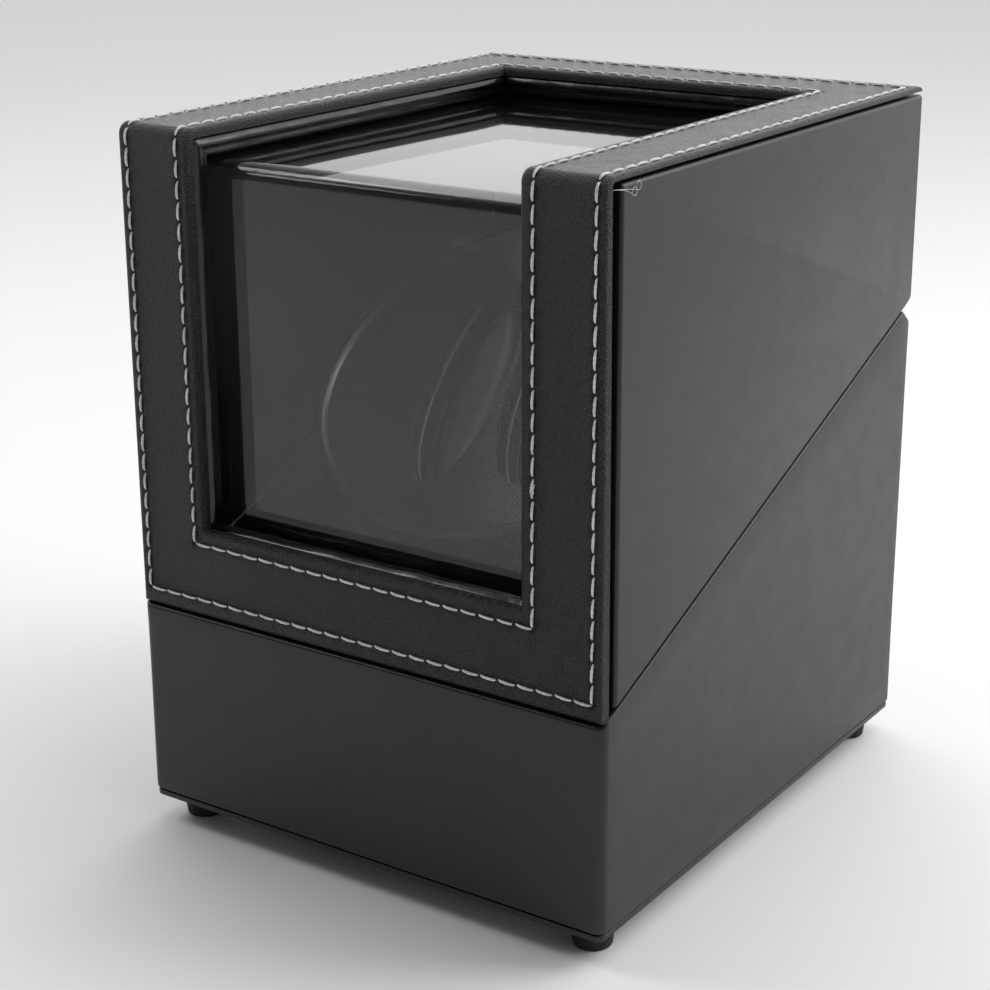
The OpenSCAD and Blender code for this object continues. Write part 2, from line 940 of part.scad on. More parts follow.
// Side view of a region behind the band's front and under its top, with a rounded corner
module rounded_front_top(inset) {
  r = band_r - inset;
  y0 = -half_d + inset;
  z1 = case_z1 - inset;
  polygon(concat([[half_d, 0], [half_d, z1]], arc([y0 + r, z1 - r], r, 90, 180), [[y0, 0]]));
}

// A front post of the window frame; its outer front edge reaches under the cover's flange
module front_post(side) {
  intersection() {
    above_parting();
    across(case_w)
      rounded_front_top(cover_t);
    mirror([side > 0 ? 0 : 1, 0, 0]) {
      block([frame_x, -half_d, 0], [band_x, frame_y, case_z1]);
      block([frame_x, -half_d, 0], [cover_x - cover_t, flange_y, case_z1]);
    }
  }
}

module front_left_post() {
  color(lining_board)
    difference() {
      front_post(-1);
      magnet_pockets(lid_magnet_z);
    }
}

module front_right_post() {
  color(lining_board)
    difference() {
      front_post(1);
      magnet_pockets(lid_magnet_z);
    }
}

module front_bottom_rail() {
  color(lining_board)
    intersection() {
      above_parting();
      block([-frame_x, -half_d + cover_t, 0], [frame_x, frame_y, sill_z - lining_t]);
    }
}

module lid_magnets() {
  color(steel)
    magnet_pockets(lid_magnet_z);
}

module top_left_rail() {
  color(lining_board)
    block([-band_x, frame_y, frame_z], [-frame_x, rail_back_y, case_z1 - cover_t]);
}

module top_right_rail() {
  color(lining_board)
    block([frame_x, frame_y, frame_z], [band_x, rail_back_y, case_z1 - cover_t]);
}

module top_back_rail() {
  color(lining_board)
    block([-band_x, rail_back_y, frame_z], [band_x, lid_back_y0, case_z1 - cover_t]);
}

// The stitched leather skin of the front and top, cut out round the window
module stitched_cover() {
  color(leather)
    difference() {
      intersection() {
        above_parting();
        block([-cover_x, -half_d, 0], [cover_x, half_d - 0.2, case_z1]);
        across(case_w)
          rounded_front_top(0);
      }
      intersection() {
        across(2 * (cover_x - cover_t))
          rounded_front_top(cover_t);
        block([-half_w, -half_d, 0], [half_w, flange_y + 0.01, case_z1]);
      }
      block([-half_w, flange_y, 0], [half_w, half_d, case_z1 - cover_t]);
      block([-window_w / 2, -half_d - 1, sill_z], [window_w / 2, window_back_y, case_z1 + 1]);
    }
}

module lid_side_panel(side) {
  intersection() {
    across(case_w)
      polygon([[side_panel_y0, parting_z(side_panel_y0) + parting_gap / 2],
        [lid_side_foot_y, parting_z(lid_side_foot_y) + parting_gap / 2],
        [side_panel_y1, hinge_z + leaf_edge],
        [side_panel_y1, side_panel_z1], [side_panel_y0, side_panel_z1]]);
    translate([side > 0 ? inner_x : -half_w, -half_d, 0])
      cube([board_t, case_d, case_z1]);
  }
}

module lid_left_panel() {
  color(leather)
    lid_side_panel(-1);
}

module lid_right_panel() {
  color(leather)
    lid_side_panel(1);
}

module lid_back_panel() {
  color(leather)
    difference() {
      block([-band_x, lid_back_y0, lid_back_z0], [band_x, lid_back_y1, case_z1 - cover_t]);
      for (x = [-hinge_x, hinge_x]) {
        block([x - leaf_w / 2 - fit_gap, leaf_y, 0],
          [x + leaf_w / 2 + fit_gap, half_d + 1, lid_leaf_z1 + fit_gap]);
        hinge_screw_holes(x, lid_leaf_z1 - hinge_screw_edge);
      }
    }
}

// Clear sheet bent once along the top front edge
module acrylic_window() {
  y0 = frame_y;
  z1 = frame_z;
  back = window_back_y + 14;
  bottom = sill_z - 12;
  inner_r = acrylic_bend_r - acrylic_t;
  centre = [y0 + acrylic_bend_r, z1 - acrylic_bend_r];
  color(clear_tone)
    across(2 * acrylic_x)
      polygon(concat([[y0, bottom]], arc(centre, acrylic_bend_r, 180, 90),
        [[back, z1], [back, z1 - acrylic_t]], arc(centre, inner_r, 90, 180), [[y0 + acrylic_t, bottom]]));
}

// Padded lining round the inner edge of the band, between its face and the clear sheet
module reveal_lining() {
  color(satin_lining)
    difference() {
      union() {
        intersection() {
          across(2 * frame_x)
            rounded_front_top(cover_t);
          block([-frame_x, -half_d, sill_z - lining_t], [frame_x, frame_y, case_z1]);
        }
        block([-frame_x, frame_y, frame_z], [frame_x, rail_back_y, case_z1 - cover_t]);
      }
      block([-window_w / 2, -half_d - 1, sill_z], [window_w / 2, window_back_y, case_z1 + 1]);
    }
}

// ---- Rotor ----

// One watch well seen from above, inset by a wall or a step
module well_shape(inset) {
  rotate(well_turn)
    translate([-well_x, 0])
      polygon(oval(well_w / 2 - inset, well_l / 2 - inset));
}

module both_wells() {
  for (turn = [0, 180])
    rotate(turn)
      children();
}

// Stepped hollow of one well, narrowing twice on its way down
module well_hollow() {
  steps = concat([0], well_step_depths, [well_depth]);
  for (i = [0:len(steps) - 2])
    translate([0, 0, -steps[i + 1]])
      linear_extrude(steps[i + 1] - (i == 0 ? -3 : steps[i] - 0.01))
        well_shape(i * well_step);
}

// Thin moulded dish with a beaded rim, a skirt and the two wells
module rotor_dish() {
  plate_top = -dish_drop;
  skirt_r = rotor_r - 2;
  color(black_plastic)
    on_rotor()
      difference() {
        union() {
          rotate_extrude()
            polygon(concat([[0, plate_top], [rotor_r - 2 * rim_bead_r, plate_top]],
              arc([rotor_r - rim_bead_r, -rim_bead_r], rim_bead_r, 165, 0, 6),
              [[rotor_r, -skirt_l], [skirt_r, -skirt_l], [skirt_r, plate_top - dish_t],
              [0, plate_top - dish_t]]));
          both_wells()
            translate([0, 0, -well_depth - well_wall])
              linear_extrude(well_depth + well_wall - dish_drop)
                well_shape(-well_wall);
        }
        both_wells()
          well_hollow();
      }
}

// Boss fixed under the wells, on the end of the shaft
module rotor_hub() {
  bottom = deck_w + bush_flange_t + 0.15;
  top = -well_depth - well_wall;
  color(black_plastic)
    on_rotor()
      difference() {
        union() {
          translate([0, 0, bottom])
            cylinder(h = top - bottom, r = hub_r);
          translate([0, 0, top - hub_flange_t])
            cylinder(h = hub_flange_t, r = hub_flange_r);
        }
        translate([0, 0, bottom - 1])
          cylinder(h = top - bottom - 2, r = shaft_r);
      }
}

module drive_shaft() {
  bottom = plate_w - 1.5;
  top = -well_depth - well_wall - 3;
  color(steel)
    on_rotor()
      difference() {
        translate([0, 0, bottom])
          cylinder(h = top - bottom, r = shaft_r);
        translate([0, 0, deck_w - deck_t - 2.5])
          difference() {
            cylinder(h = 1, r = shaft_r + 1);
            cylinder(h = 1, r = shaft_r - 0.6);
          }
      }
}

// Open ring that snaps into the shaft's groove under the bush
module retaining_clip() {
  z = deck_w - deck_t - 2.4;
  color(steel)
    on_rotor()
      translate([0, 0, z])
        difference() {
          cylinder(h = 0.8, r = shaft_r + 2.6);
          translate([0, 0, -1])
            cylinder(h = 3, r = shaft_r - 0.6);
          translate([-(shaft_r - 0.8), 0, -1])
            cube([2 * (shaft_r - 0.8), shaft_r + 4, 3]);
        }
}

module output_gear() {
  color(white_plastic)
    on_rotor()
      difference() {
        union() {
          translate([0, 0, output_w])
            gear(output_teeth, gear_t, -90);
          translate([0, 0, output_w - 3])
            cylinder(h = gear_t + 3, r = 6);
        }
        translate([0, 0, output_w - 4])
          cylinder(h = gear_t + 6, r = shaft_r);
      }
}

// Compound idler: the small gear meets the output gear and the large one the pinion
module idler_gear() {
  small_phase = 90 + 180 / idler_small_teeth;
  large_phase = 180;
  color(white_plastic)
    on_rotor()
      translate([idler_pos[0], idler_pos[1], 0])
        difference() {
          union() {
            translate([0, 0, idler_small_w])
              gear(idler_small_teeth, gear_t + 1, small_phase);
            translate([0, 0, idler_large_w])
              gear(idler_large_teeth, large_gear_t, large_phase);
            translate([0, 0, idler_large_w - 1.5])
              cylinder(h = 14.5, r = 3.5);
          }
          translate([0, 0, idler_large_w - 2])
            cylinder(h = 20, r = axle_r + running_gap);
        }
}

module motor_pinion() {
  phase = 180 / pinion_teeth;
  color(brass_tone)
    on_rotor()
      translate([motor_pos[0], motor_pos[1], 0]) {
        translate([0, 0, idler_large_w - 0.5])
          gear(pinion_teeth, gear_t, phase);
        translate([0, 0, plate_w - 15])
          cylinder(h = 22, r = motor_shaft_r);
      }
}

// ---- Cushions ----

// Slim crowned cushion lying in the floor of a well, the second well half a turn on
module cushion(turn) {
  inset = 2 * well_step + 0.4;
  edge_h = 6;
  crown_h = 10;
  crown_inset = inset + 4;
  on_rotor()
    rotate(turn)
      translate([0, 0, -well_depth + 0.3])
        hull() {
          linear_extrude(edge_h)
            well_shape(inset);
          linear_extrude(crown_h)
            well_shape(crown_inset);
        }
}

module cushion_left() {
  color(leather)
    cushion(0);
}

module cushion_right() {
  color(leather)
    cushion(180);
}

base_front_panel();
base_back_panel();
base_left_panel();
base_right_panel();
base_floor();
deck_panel();
deck_cleat_left();
deck_cleat_right();
deck_screws();
base_magnets();
foot_front_left();
foot_front_right();
foot_back_left();
foot_back_right();
foot_screws();
shaft_bush();
motor_plate();
plate_spacers();
plate_screws();
idler_axle();
motor_can();
motor_screws();
control_board();
board_posts();
control_plate();
dc_jack();
rocker_frame();
mode_switch();
wiring();
base_hinge_leaf_left();
base_hinge_leaf_right();
hinge_pins();
base_hinge_screws();
front_left_post();
front_right_post();
front_bottom_rail();
top_left_rail();
top_right_rail();
top_back_rail();
stitched_cover();
lid_left_panel();
lid_right_panel();
lid_back_panel();
acrylic_window();
reveal_lining();
lid_magnets();
lid_hinge_leaf_left();
lid_hinge_leaf_right();
lid_hinge_screws();
rotor_dish();
rotor_hub();
drive_shaft();
output_gear();
retaining_clip();
cushion_left();
cushion_right();
idler_gear();
motor_pinion();
mode_knob();
power_rocker();
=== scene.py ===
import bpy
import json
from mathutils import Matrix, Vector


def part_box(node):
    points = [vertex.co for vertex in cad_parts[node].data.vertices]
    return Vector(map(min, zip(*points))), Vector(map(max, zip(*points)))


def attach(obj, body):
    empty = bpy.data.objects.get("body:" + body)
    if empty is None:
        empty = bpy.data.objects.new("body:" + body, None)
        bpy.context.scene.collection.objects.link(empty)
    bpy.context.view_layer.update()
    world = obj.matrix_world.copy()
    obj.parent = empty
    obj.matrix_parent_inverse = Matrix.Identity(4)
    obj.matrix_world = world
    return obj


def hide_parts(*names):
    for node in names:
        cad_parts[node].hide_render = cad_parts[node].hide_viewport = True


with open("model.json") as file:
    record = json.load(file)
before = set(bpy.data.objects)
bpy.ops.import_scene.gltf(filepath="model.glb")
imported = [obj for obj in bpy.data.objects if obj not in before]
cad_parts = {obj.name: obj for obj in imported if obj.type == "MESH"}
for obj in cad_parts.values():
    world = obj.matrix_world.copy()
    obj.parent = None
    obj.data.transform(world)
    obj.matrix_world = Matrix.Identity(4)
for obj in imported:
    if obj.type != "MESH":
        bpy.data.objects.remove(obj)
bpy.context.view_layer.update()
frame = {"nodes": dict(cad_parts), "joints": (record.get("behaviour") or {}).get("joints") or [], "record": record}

import json
import math
import random

import bmesh
import bpy
from mathutils import Matrix, Vector, noise
from mathutils.geometry import delaunay_2d_cdt

random.seed(7)
MM = 0.001

# ---------------------------------------------------------------- places taken from the frame

COVER_LOW, COVER_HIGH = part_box("stitched_cover")
FLOOR_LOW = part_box("base_floor")[0]
PANEL_LOW, PANEL_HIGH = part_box("base_front_panel")
BACK_LOW, BACK_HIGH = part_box("base_back_panel")
RAIL_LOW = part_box("top_right_rail")[0]
BACK_RAIL_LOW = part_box("top_back_rail")[0]
SILL_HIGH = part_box("front_bottom_rail")[1]
PANE_LOW, PANE_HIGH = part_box("acrylic_window")
PLATE_LOW, PLATE_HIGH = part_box("control_plate")
JOINTS = {joint["name"]: joint for joint in frame["joints"]}
HINGE = Vector(JOINTS["lid_hinge"]["pos_m"])
ROTOR = Vector(JOINTS["rotor_spin"]["pos_m"])
ROTOR_AXIS = Vector(JOINTS["rotor_spin"]["axis"]).normalized()

LINING = 2.5 * MM
WINDOW_X = RAIL_LOW.x - LINING
WINDOW_SILL = SILL_HIGH.z + LINING
WINDOW_BACK = BACK_RAIL_LOW.y - LINING
BAND_BEND = 3.5 * MM
PARTING_SLOPE = math.tan(math.radians(22.4))
PARTING_GAP = 0.8 * MM
NOTCH_DEPTH = 6.2 * MM
NOTCH_DROP = 4.5 * MM
NOTCH_RISE = 0.6 * MM


def body_of_node(node):
    return next(body for body, nodes in frame["record"]["behaviour"]["bodies"].items() if node in nodes)


def slot_of_node(node):
    return next(part["material_slot"] for part in frame["record"]["subparts"] if part["node"] == node)


# ---------------------------------------------------------------- shader helpers


class Shader:
    """A principled material with a few shorthand nodes, all in object coordinates."""

    def __init__(self, name, base, roughness, **constants):
        self.material = bpy.data.materials.new(name)
        self.material.use_nodes = True
        self.nodes = self.material.node_tree.nodes
        self.links = self.material.node_tree.links
        self.bsdf = self.nodes["Principled BSDF"]
        self.bsdf.inputs["Base Color"].default_value = (*base, 1)
        self.bsdf.inputs["Roughness"].default_value = roughness
        for socket, value in constants.items():
            self.bsdf.inputs[socket.replace("_", " ")].default_value = value
        self.base = base
        self.coords = self.nodes.new("ShaderNodeTexCoord").outputs["Object"]

    def stretched(self, scale):
        node = self.nodes.new("ShaderNodeMapping")
        node.inputs["Scale"].default_value = scale
        self.links.new(self.coords, node.inputs["Vector"])
        return node.outputs["Vector"]

    def noise(self, size, detail=3.0, rough=0.55, vector=None, distortion=0.0):
        node = self.nodes.new("ShaderNodeTexNoise")
        node.inputs["Scale"].default_value = 1 / size
        node.inputs["Detail"].default_value = detail
        node.inputs["Roughness"].default_value = rough
        node.inputs["Distortion"].default_value = distortion
        self.links.new(vector or self.coords, node.inputs["Vector"])
        return node.outputs["Fac"]

    def cells(self, size, feature="DISTANCE_TO_EDGE", vector=None, randomness=1.0):
        node = self.nodes.new("ShaderNodeTexVoronoi")
        node.feature = feature
        node.inputs["Scale"].default_value = 1 / size
        node.inputs["Randomness"].default_value = randomness
        self.links.new(vector or self.coords, node.inputs["Vector"])
        return node.outputs["Distance"]

    def remap(self, value, low, high, to_low, to_high):
        node = self.nodes.new("ShaderNodeMapRange")
        node.interpolation_type = "SMOOTHSTEP"
        for socket, number in zip(("From Min", "From Max", "To Min", "To Max"), (low, high, to_low, to_high)):
            node.inputs[socket].default_value = number
        self.links.new(value, node.inputs["Value"])
        return node.outputs["Result"]

    def math(self, operation, a, b):
        node = self.nodes.new("ShaderNodeMath")
        node.operation = operation
        for socket, value in zip(node.inputs, (a, b)):
            if isinstance(value, (int, float)):
                socket.default_value = value
            else:
                self.links.new(value, socket)
        return node.outputs["Value"]

    def tint(self, factor, color_a, color_b, previous=None):
        node = self.nodes.new("ShaderNodeMix")
        node.data_type = "RGBA"
        node.inputs["A"].default_value = (*color_a, 1)
        node.inputs["B"].default_value = (*color_b, 1)
        if previous is not None:
            self.links.new(previous, node.inputs["A"])
        self.links.new(factor, node.inputs["Factor"])
        return node.outputs["Result"]

    def bump(self, height, distance, strength=1.0, previous=None):
        node = self.nodes.new("ShaderNodeBump")
        node.inputs["Distance"].default_value = distance
        node.inputs["Strength"].default_value = strength
        self.links.new(height, node.inputs["Height"])
        if previous is not None:
            self.links.new(previous, node.inputs["Normal"])
        return node.outputs["Normal"]

    def pointiness(self):
        return self.nodes.new("ShaderNodeNewGeometry").outputs["Pointiness"]

    def drive(self, socket, value):
        self.links.new(value, self.bsdf.inputs[socket])


def leather(name, base, pebble, depth, rough_low, rough_high, wear=0.5):
    """Coated leather: rounded pebbles between fine cracks, cloudy colour and gloss, lighter worn edges."""
    s = Shader(name, base, 0.5, Specular_IOR_Level=0.5)
    stretched = s.stretched((1.0, 1.0, 1.7))
    cracks = s.remap(s.cells(pebble, vector=stretched), 0.0, 0.35, 0.0, 1.0)
    small_cracks = s.remap(s.cells(pebble * 0.47, vector=stretched), 0.0, 0.3, 0.0, 1.0)
    micro = s.noise(pebble * 0.25, detail=2.0)
    height = s.math("ADD", s.math("MULTIPLY", cracks, 0.6), s.math("MULTIPLY", small_cracks, 0.25))
    height = s.math("ADD", height, s.math("MULTIPLY", micro, 0.2))
    waves = s.bump(s.noise(16 * MM, detail=1.5), 0.03 * MM)
    s.drive("Normal", s.bump(height, depth, previous=waves))
    clouds = s.noise(28 * MM, detail=3.0)
    lighter = tuple(c * 1.2 for c in base)
    darker = tuple(c * 0.5 for c in base)
    color = s.tint(s.remap(clouds, 0.3, 0.7, 0.0, 1.0), tuple(c * 0.85 for c in base), lighter)
    # painted shade: the cracks between the pebbles are coloured darker than the pebbles, standing in for shade in
    # the grain's hollows
    color = s.tint(s.math("MULTIPLY", s.math("SUBTRACT", 1.0, cracks), 0.6), base, darker, previous=color)
    worn = s.math("MULTIPLY", s.remap(s.pointiness(), 0.52, 0.60, 0.0, wear), s.noise(6 * MM))
    s.drive("Base Color", s.tint(worn, base, (0.03, 0.03, 0.031), previous=color))
    gloss = s.math("ADD", s.remap(s.noise(9 * MM, detail=4.0), 0.3, 0.7, rough_low, rough_high),
                   s.math("MULTIPLY", micro, 0.08))
    s.drive("Roughness", gloss)
    return s.material


def satin_lining_material():
    """Glossy padded lining: almost smooth, with soft creases and small puckers."""
    s = Shader("satin_lining", (0.0025, 0.0025, 0.0028), 0.2, Specular_IOR_Level=0.5)
    creases = s.noise(5 * MM, detail=2.5, vector=s.stretched((1.0, 1.0, 1.0)), distortion=0.8)
    grain = s.noise(0.5 * MM, detail=2.0)
    s.drive("Normal", s.bump(grain, 0.02 * MM, previous=s.bump(creases, 0.10 * MM)))
    s.drive("Roughness", s.remap(s.noise(7 * MM), 0.3, 0.7, 0.17, 0.26))
    s.drive("Base Color", s.tint(s.noise(11 * MM), (0.0018, 0.0018, 0.002), (0.004, 0.004, 0.0045)))
    return s.material


def thread_material():
    """Waxed off-white thread with fibres and a little soiling."""
    s = Shader("thread", (0.80, 0.79, 0.75), 0.6, Sheen_Weight=0.3)
    fibres = s.noise(0.18 * MM, detail=3.0)
    s.drive("Normal", s.bump(fibres, 0.05 * MM))
    shade = s.remap(s.noise(3 * MM), 0.35, 0.75, 0.0, 1.0)
    s.drive("Base Color", s.tint(shade, (0.82, 0.81, 0.78), (0.60, 0.59, 0.56)))
    s.drive("Roughness", s.remap(fibres, 0.2, 0.8, 0.5, 0.75))
    return s.material


def pane_material():
    """Clear acrylic: see-through, with the sheet's own reflection, faint haze and dust specks."""
    s = Shader("clear_acrylic", (0.9, 0.92, 0.93), 0.03)
    clear = s.nodes.new("ShaderNodeBsdfTransparent")
    clear.inputs["Color"].default_value = (0.955, 0.965, 0.965, 1)
    gloss = s.nodes.new("ShaderNodeBsdfGlossy")
    gloss.inputs["Roughness"].default_value = 0.03
    haze = s.nodes.new("ShaderNodeBsdfDiffuse")
    haze.inputs["Color"].default_value = (0.85, 0.85, 0.85, 1)
    facing = s.nodes.new("ShaderNodeLayerWeight").outputs["Facing"]
    grazing = s.math("MULTIPLY", s.math("POWER", facing, 5), 0.96)
    mirror = s.nodes.new("ShaderNodeMixShader")
    s.links.new(s.math("ADD", grazing, 0.04), mirror.inputs["Fac"])
    s.links.new(clear.outputs["BSDF"], mirror.inputs[1])
    s.links.new(gloss.outputs["BSDF"], mirror.inputs[2])
    specks = s.remap(s.cells(8 * MM, feature="F1"), 0.014, 0.024, 1.0, 0.0)
    film = s.remap(s.noise(30 * MM, detail=4.0), 0.3, 0.8, 0.001, 0.005)
    dust = s.math("MAXIMUM", s.math("MULTIPLY", specks, 0.6), film)
    top = s.nodes.new("ShaderNodeMixShader")
    s.links.new(dust, top.inputs["Fac"])
    s.links.new(mirror.outputs["Shader"], top.inputs[1])
    s.links.new(haze.outputs["BSDF"], top.inputs[2])
    s.links.new(top.outputs["Shader"], s.nodes["Material Output"].inputs["Surface"])
    s.nodes.remove(s.bsdf)
    return s.material


def plastic(name, base, roughness, grain=0.35 * MM, depth=0.02 * MM, coat=0.0):
    """Moulded plastic with a fine eroded texture and slightly polished edges."""
    s = Shader(name, base, roughness, Coat_Weight=coat, Coat_Roughness=0.12)
    texture = s.noise(grain, detail=2.0)
    s.drive("Normal", s.bump(texture, depth, previous=s.bump(s.noise(20 * MM), 0.02 * MM)))
    s.drive("Roughness", s.remap(s.noise(8 * MM, detail=4.0), 0.3, 0.7, roughness * 0.85, roughness * 1.15))
    color = s.tint(s.noise(15 * MM), tuple(c * 0.88 for c in base), tuple(min(1, c * 1.15) for c in base))
    edge = s.remap(s.pointiness(), 0.53, 0.62, 0.0, 0.35)
    s.drive("Base Color", s.tint(edge, base, tuple(min(1, c * 1.6 + 0.01) for c in base), previous=color))
    return s.material


def metal(name, base, roughness, brushed):
    """Metal with a drawn grain along one direction and faint stains."""
    s = Shader(name, base, roughness, Metallic=1.0)
    lines = s.noise(0.4 * MM, detail=3.0, vector=s.stretched(brushed))
    s.drive("Normal", s.bump(lines, 0.015 * MM))
    s.drive("Roughness", s.remap(lines, 0.25, 0.75, roughness * 0.75, roughness * 1.3))
    darker = tuple(c * 0.8 for c in base)
    lighter = tuple(min(1, c * 1.1) for c in base)
    s.drive("Base Color", s.tint(s.noise(6 * MM, detail=4.0), darker, lighter))
    return s.material


def rubber():
    s = Shader("foot_rubber", (0.014, 0.014, 0.014), 0.72, Specular_IOR_Level=0.35)
    s.drive("Normal", s.bump(s.noise(0.4 * MM, detail=3.0), 0.05 * MM))
    s.drive("Roughness", s.remap(s.noise(3 * MM), 0.3, 0.7, 0.62, 0.82))
    s.drive("Base Color", s.tint(s.noise(4 * MM, detail=4.0), (0.011, 0.011, 0.011), (0.022, 0.021, 0.020)))
    return s.material


def flock():
    """Short black flocking: no gloss, a soft sheen and a mottled nap."""
    s = Shader("flocked_board", (0.006, 0.006, 0.0065), 0.95,
               Specular_IOR_Level=0.1, Sheen_Weight=0.08, Sheen_Roughness=0.5)
    s.drive("Normal", s.bump(s.noise(0.3 * MM, detail=3.0), 0.08 * MM))
    s.drive("Base Color", s.tint(s.noise(12 * MM, detail=5.0), (0.003, 0.003, 0.0035), (0.009, 0.009, 0.010)))
    s.drive("Roughness", s.remap(s.noise(5 * MM), 0.3, 0.7, 0.88, 1.0))
    return s.material


def fibreboard():
    """Black-stained fibreboard under the leather."""
    s = Shader("inner_wood", (0.007, 0.006, 0.005), 0.85, Specular_IOR_Level=0.2)
    fibres = s.noise(0.6 * MM, detail=5.0)
    s.drive("Normal", s.bump(fibres, 0.08 * MM))
    stain = s.remap(fibres, 0.3, 0.75, 0.0, 1.0)
    s.drive("Base Color", s.tint(stain, (0.004, 0.0035, 0.003), (0.014, 0.011, 0.009)))
    s.drive("Roughness", s.remap(fibres, 0.3, 0.7, 0.7, 0.9))
    return s.material


MATERIALS = {
    "leather_board": leather("leather_board", (0.0062, 0.0062, 0.0066), 0.85 * MM, 0.03 * MM, 0.32, 0.37),
    "stitched_leather": leather("stitched_leather", (0.0042, 0.0042, 0.0045),
                                1.15 * MM, 0.55 * MM, 0.27, 0.32),
    "satin_lining": satin_lining_material(),
    "inner_wood": fibreboard(),
    "flocked_board": flock(),
    "foot_rubber": rubber(),
    "steel": metal("steel", (0.60, 0.61, 0.63), 0.32, (1, 1, 14)),
    "dark_hinge": metal("dark_hinge", (0.10, 0.10, 0.105), 0.38, (14, 1, 1)),
    "brass": metal("brass", (0.72, 0.53, 0.25), 0.28, (10, 10, 1)),
    "black_plastic": plastic("black_plastic", (0.018, 0.018, 0.019), 0.42),
    "rotor_plastic": plastic("rotor_plastic", (0.0055, 0.0055, 0.006), 0.16, depth=0.003 * MM),
    "gear_plastic": plastic("gear_plastic", (0.78, 0.78, 0.74), 0.45),
    "circuit_green": plastic("circuit_green", (0.02, 0.15, 0.07), 0.35, coat=0.4),
    "clear_acrylic": pane_material(),
    "cushion_leather": leather("cushion_leather", (0.007, 0.007, 0.0075), 0.6 * MM, 0.04 * MM, 0.34, 0.42),
    "wire_red": plastic("wire_red", (0.42, 0.035, 0.025), 0.5),
}
THREAD = thread_material()
# painted shade: the needle holes get a near-black colour in place of the shade inside each hole
HOLE_SHADE = plastic("needle_hole", (0.002, 0.002, 0.002), 0.9)

# ---------------------------------------------------------------- mesh helpers


def add_piece(name, mesh, body, material, replaced=()):
    """Adds a mesh as a piece that rides on a body and may stand for CAD nodes."""
    piece = bpy.data.objects.new(name, mesh)
    bpy.context.scene.collection.objects.link(piece)
    mesh.materials.clear()
    mesh.materials.append(material)
    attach(piece, body)
    if replaced:
        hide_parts(*replaced)
    return piece


def smooth(mesh, angle=35):
    mesh.polygons.foreach_set("use_smooth", [True] * len(mesh.polygons))
    mesh.set_sharp_from_angle(angle=math.radians(angle))
    mesh.update()


def mesh_from(name, vertices, faces, angle=35):
    mesh = bpy.data.meshes.new(name)
    mesh.from_pydata([tuple(v) for v in vertices], [], faces)
    bm = bmesh.new()
    bm.from_mesh(mesh)
    bmesh.ops.remove_doubles(bm, verts=bm.verts, dist=1e-6)
    bmesh.ops.recalc_face_normals(bm, faces=bm.faces)
    bm.to_mesh(mesh)
    bm.free()
    smooth(mesh, angle)
    return mesh


def refine(node, bevel, segments=3, angle=30):
    """A CAD node's shape as one clean piece whose edges are rounded."""
    mesh = frame["nodes"][node].data.copy()
    bm = bmesh.new()
    bm.from_mesh(mesh)
    bmesh.ops.remove_doubles(bm, verts=bm.verts, dist=1e-6)
    bmesh.ops.dissolve_limit(bm, angle_limit=math.radians(1), verts=bm.verts, edges=bm.edges)
    edges = [e for e in bm.edges if len(e.link_faces) == 2 and e.calc_face_angle(0) > math.radians(angle)]
    bmesh.ops.bevel(bm, geom=edges, offset=bevel, segments=segments, profile=0.5,
                    affect="EDGES", clamp_overlap=True)
    bm.to_mesh(mesh)
    bm.free()
    smooth(mesh, 40)
    slot = slot_of_node(node)
    return add_piece("fine_" + node, mesh, body_of_node(node), MATERIALS[slot], [node])


def cut(piece, boxes):
    """Cuts boxes out of a closed piece."""
    cutter_mesh = bpy.data.meshes.new("cutter")
    bm = bmesh.new()
    for low, high in boxes:
        made = bmesh.ops.create_cube(bm, size=1.0)["verts"]
        middle, size = (low + high) / 2, high - low
        bmesh.ops.scale(bm, verts=made, vec=size)
        bmesh.ops.translate(bm, verts=made, vec=middle)
    bm.to_mesh(cutter_mesh)
    bm.free()
    cutter = bpy.data.objects.new("cutter", cutter_mesh)
    bpy.context.scene.collection.objects.link(cutter)
    modifier = piece.modifiers.new("cut", "BOOLEAN")
    modifier.object = cutter
    modifier.solver = "EXACT"
    done = bpy.data.meshes.new_from_object(piece.evaluated_get(bpy.context.evaluated_depsgraph_get()))
    piece.modifiers.clear()
    old = piece.data
    piece.data = done
    bpy.data.meshes.remove(old)
    bpy.data.objects.remove(cutter)
    bpy.data.meshes.remove(cutter_mesh)
    smooth(piece.data, 35)


def spaced(low, high, step):
    count = max(1, round((high - low) / step))
    return [low + (high - low) * i / count for i in range(count + 1)]


def merged(values, least=0.12 * MM):
    kept = []
    for value in sorted(values):
        if not kept or value - kept[-1] > least:
            kept.append(value)
    return kept


# ---------------------------------------------------------------- the stitched band

BAND_X = COVER_HIGH.x
FRONT_Y, TOP_Z, FOOT_Z, END_Y = COVER_LOW.y, COVER_HIGH.z, COVER_LOW.z, COVER_HIGH.y
FRONT_LENGTH = TOP_Z - BAND_BEND - FOOT_Z
BEND_LENGTH = BAND_BEND * math.pi / 2
BAND_LENGTH = FRONT_LENGTH + BEND_LENGTH + END_Y - FRONT_Y - BAND_BEND
OUTER_ROLL = 1.3 * MM
INNER_ROLL = 1.7 * MM
STITCH_PITCH = 5.9 * MM
OUTER_SEAM_X = BAND_X - 3.1 * MM
INNER_SEAM_X = WINDOW_X + 4.0 * MM
SEAM_FOOT = 5.0 * MM
SEAM_END = BAND_LENGTH - 5.6 * MM


def along_of_y(y):
    return FRONT_LENGTH + BEND_LENGTH + y - FRONT_Y - BAND_BEND


